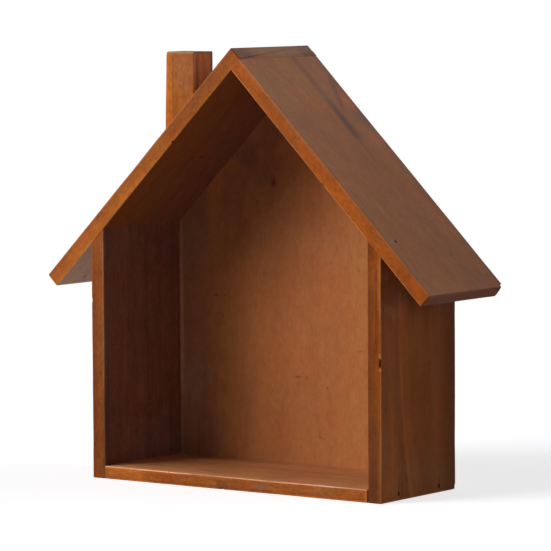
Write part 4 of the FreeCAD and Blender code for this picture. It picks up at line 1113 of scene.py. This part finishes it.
chimney_wood = timber("chimney_wood", (chimney_high.x, 0, right_foot), -math.pi / 2, (-0.9, 0, 0), {
    "Heart Across": 0.03, "Heart Through": 0.05, "Ring Spacing": 0.0042, "Waver": 0.004,
    "Rings": 0.22, "Streaks": 0.6, "Blotches": 0.35, "Mottle": 0.4,
    "Pale": (0.49, 0.166, 0.048, 1), "Deep": (0.255, 0.077, 0.022, 1),
    "Edge Tint": (0.97, 0.79, 0.21, 1), "End Tint": (0.55, 0.45, 0.30, 1),
    "Bare": (0.70, 0.34, 0.15, 1)}, chimney_stripes)
finish_board(chimney_block, chimney_wood, "chimney")


# The nails and pins. Drawn steel wire with pressed heads, darkened by the stain that ran into
# their holes. Only the heads show, at the bottom of the holes and on the back.

def steel(name, colour, rough, tarnish):
    """Plated or bare steel: grey metal, dulled in patches by a thin tarnish."""
    made, tree = new_finish(name)
    place = node(tree, "ShaderNodeTexCoord").outputs["Object"]
    patches = speckle(tree, place, (420, 420, 420), 3.0, 0.6)
    scratches = speckle(tree, place, (600, 4200, 4200), 1.0)
    share = between(tree, patches, 0.42, 0.66, 0.0, tarnish)
    tint = cover(tree, share, (*colour, 1), (0.09, 0.06, 0.045))
    gloss = plus(tree, rough, share, 0.3)
    gloss = plus(tree, gloss, minus(tree, scratches, 0.5), 0.15)
    bump = node(tree, "ShaderNodeBump", {"Height": scratches, "Strength": 0.2,
                                         "Distance": 0.05 * MM})
    shader = node(tree, "ShaderNodeBsdfPrincipled", {
        "Base Color": tint, "Roughness": gloss, "Metallic": 1.0, "Normal": bump.outputs[0]})
    node(tree, "ShaderNodeOutputMaterial", {"Surface": shader.outputs[0]})
    return made


nail_steel = steel("nail_steel", (0.07, 0.055, 0.045), 0.55, 0.9)
for nails in ("left_floor_nails", "right_floor_nails", "left_eave_nails", "right_eave_nails",
              "ridge_nails", "chimney_nails"):
    give(plain_pieces[nails], nail_steel)
give(plain_pieces["back_panel_pins"], steel("pin_steel", (0.42, 0.39, 0.35), 0.35, 0.5))


# The hanger. A strip of zinc-plated steel with a saw-toothed middle that stands off the back,
# held by a nail through each end.

hanger_steel = steel("hanger_steel", (0.62, 0.60, 0.55), 0.3, 0.25)
give(plain_pieces["sawtooth_hanger"], hanger_steel)
hanger_nail_steel = steel("hanger_nail_steel", (0.55, 0.52, 0.46), 0.32, 0.3)
give(plain_pieces["hanger_nails"], hanger_nail_steel)


# The studio. A pale floor that keeps a soft shadow, a white surround, a key light from the
# front left, a low one further round, and one from the right rear.

STUDIO_REACH = 8.0
FLOOR_DROP = 0.2 * MM
FLOOR_LIFT = 0.69
ground = bpy.data.meshes.new("studio_floor")
ground.from_pydata([(-STUDIO_REACH, -STUDIO_REACH, 0), (STUDIO_REACH, -STUDIO_REACH, 0),
                    (STUDIO_REACH, STUDIO_REACH, 0), (-STUDIO_REACH, STUDIO_REACH, 0)],
                   [], [(0, 1, 2, 3)])
studio_floor = bpy.data.objects.new("studio_floor", ground)
studio_floor.location.z = -FLOOR_DROP
bpy.context.scene.collection.objects.link(studio_floor)


def watched(tree):
    """1 for rays that the camera, a gloss or a clear thing sees, and 0 for light."""
    seen = node(tree, "ShaderNodeLightPath").outputs
    return sums(tree, "MAXIMUM", seen["Is Camera Ray"],
                sums(tree, "MAXIMUM", seen["Is Glossy Ray"], seen["Is Transmission Ray"]))


pale_floor, paint_tree = new_finish("pale_floor")
matt = node(paint_tree, "ShaderNodeBsdfDiffuse", {"Color": (0.8, 0.8, 0.8, 1)})
glow = node(paint_tree, "ShaderNodeEmission", {
    "Color": (1, 1, 1, 1), "Strength": times(paint_tree, watched(paint_tree), FLOOR_LIFT)})
both = node(paint_tree, "ShaderNodeAddShader", {0: matt.outputs[0], 1: glow.outputs[0]})
node(paint_tree, "ShaderNodeOutputMaterial", {"Surface": both.outputs[0]})
ground.materials.append(pale_floor)

world = bpy.data.worlds.new("studio")
bpy.context.scene.world = world
world.use_nodes = True
air = world.node_tree
air.nodes.clear()
dim = node(air, "ShaderNodeBackground", {"Color": (0.85, 0.95, 1.2, 1), "Strength": 0.08})
white = node(air, "ShaderNodeBackground", {"Color": (1, 1, 1, 1), "Strength": 1.0})
choice = node(air, "ShaderNodeMixShader", {0: watched(air), 1: dim.outputs[0], 2: white.outputs[0]})
node(air, "ShaderNodeOutputWorld", {"Surface": choice.outputs[0]})


def outwards(azimuth, elevation):
    """The way out to a lamp or the camera: azimuth 0 lies in front and grows to the right."""
    return Vector((math.sin(azimuth) * math.cos(elevation),
                   -math.cos(azimuth) * math.cos(elevation), math.sin(elevation)))


def sun(name, azimuth, elevation, strength, spread):
    """A far, broad lamp, its three angles in degrees."""
    lamp = bpy.data.lights.new(name, "SUN")
    lamp.energy = strength
    lamp.angle = math.radians(spread)
    holder = bpy.data.objects.new(name, lamp)
    out = outwards(math.radians(azimuth), math.radians(elevation))
    holder.rotation_euler = out.to_track_quat("Z", "Y").to_euler()
    bpy.context.scene.collection.objects.link(holder)


sun("key", -35, 25, 1.76, 31)
sun("side", -55, 2, 1.65, 22)
sun("rear", 120, 12, 1.08, 40)

AIM = Vector((2.4, 2.6, 159.4)) * MM
DISTANCE = 2.954
AZIMUTH, ELEVATION, ROLL = (math.radians(angle) for angle in (35.78, 4.62, -0.30))
SENSOR, LENS = 36.0, 253.2
NEAR_CLIP, FAR_CLIP = 0.05, 60
camera = bpy.data.cameras.new("camera")
camera.sensor_width = SENSOR
camera.lens = LENS
camera.clip_start, camera.clip_end = NEAR_CLIP, FAR_CLIP
back = outwards(AZIMUTH, ELEVATION)
facing = back.to_track_quat("Z", "Y").to_matrix().to_4x4()
viewer = bpy.data.objects.new("camera", camera)
viewer.matrix_world = (Matrix.Translation(AIM + back * DISTANCE) @ facing
                       @ Matrix.Rotation(ROLL, 4, "Z"))
bpy.context.scene.collection.objects.link(viewer)
bpy.context.scene.camera = viewer
bpy.context.scene.view_settings.view_transform = "Standard"
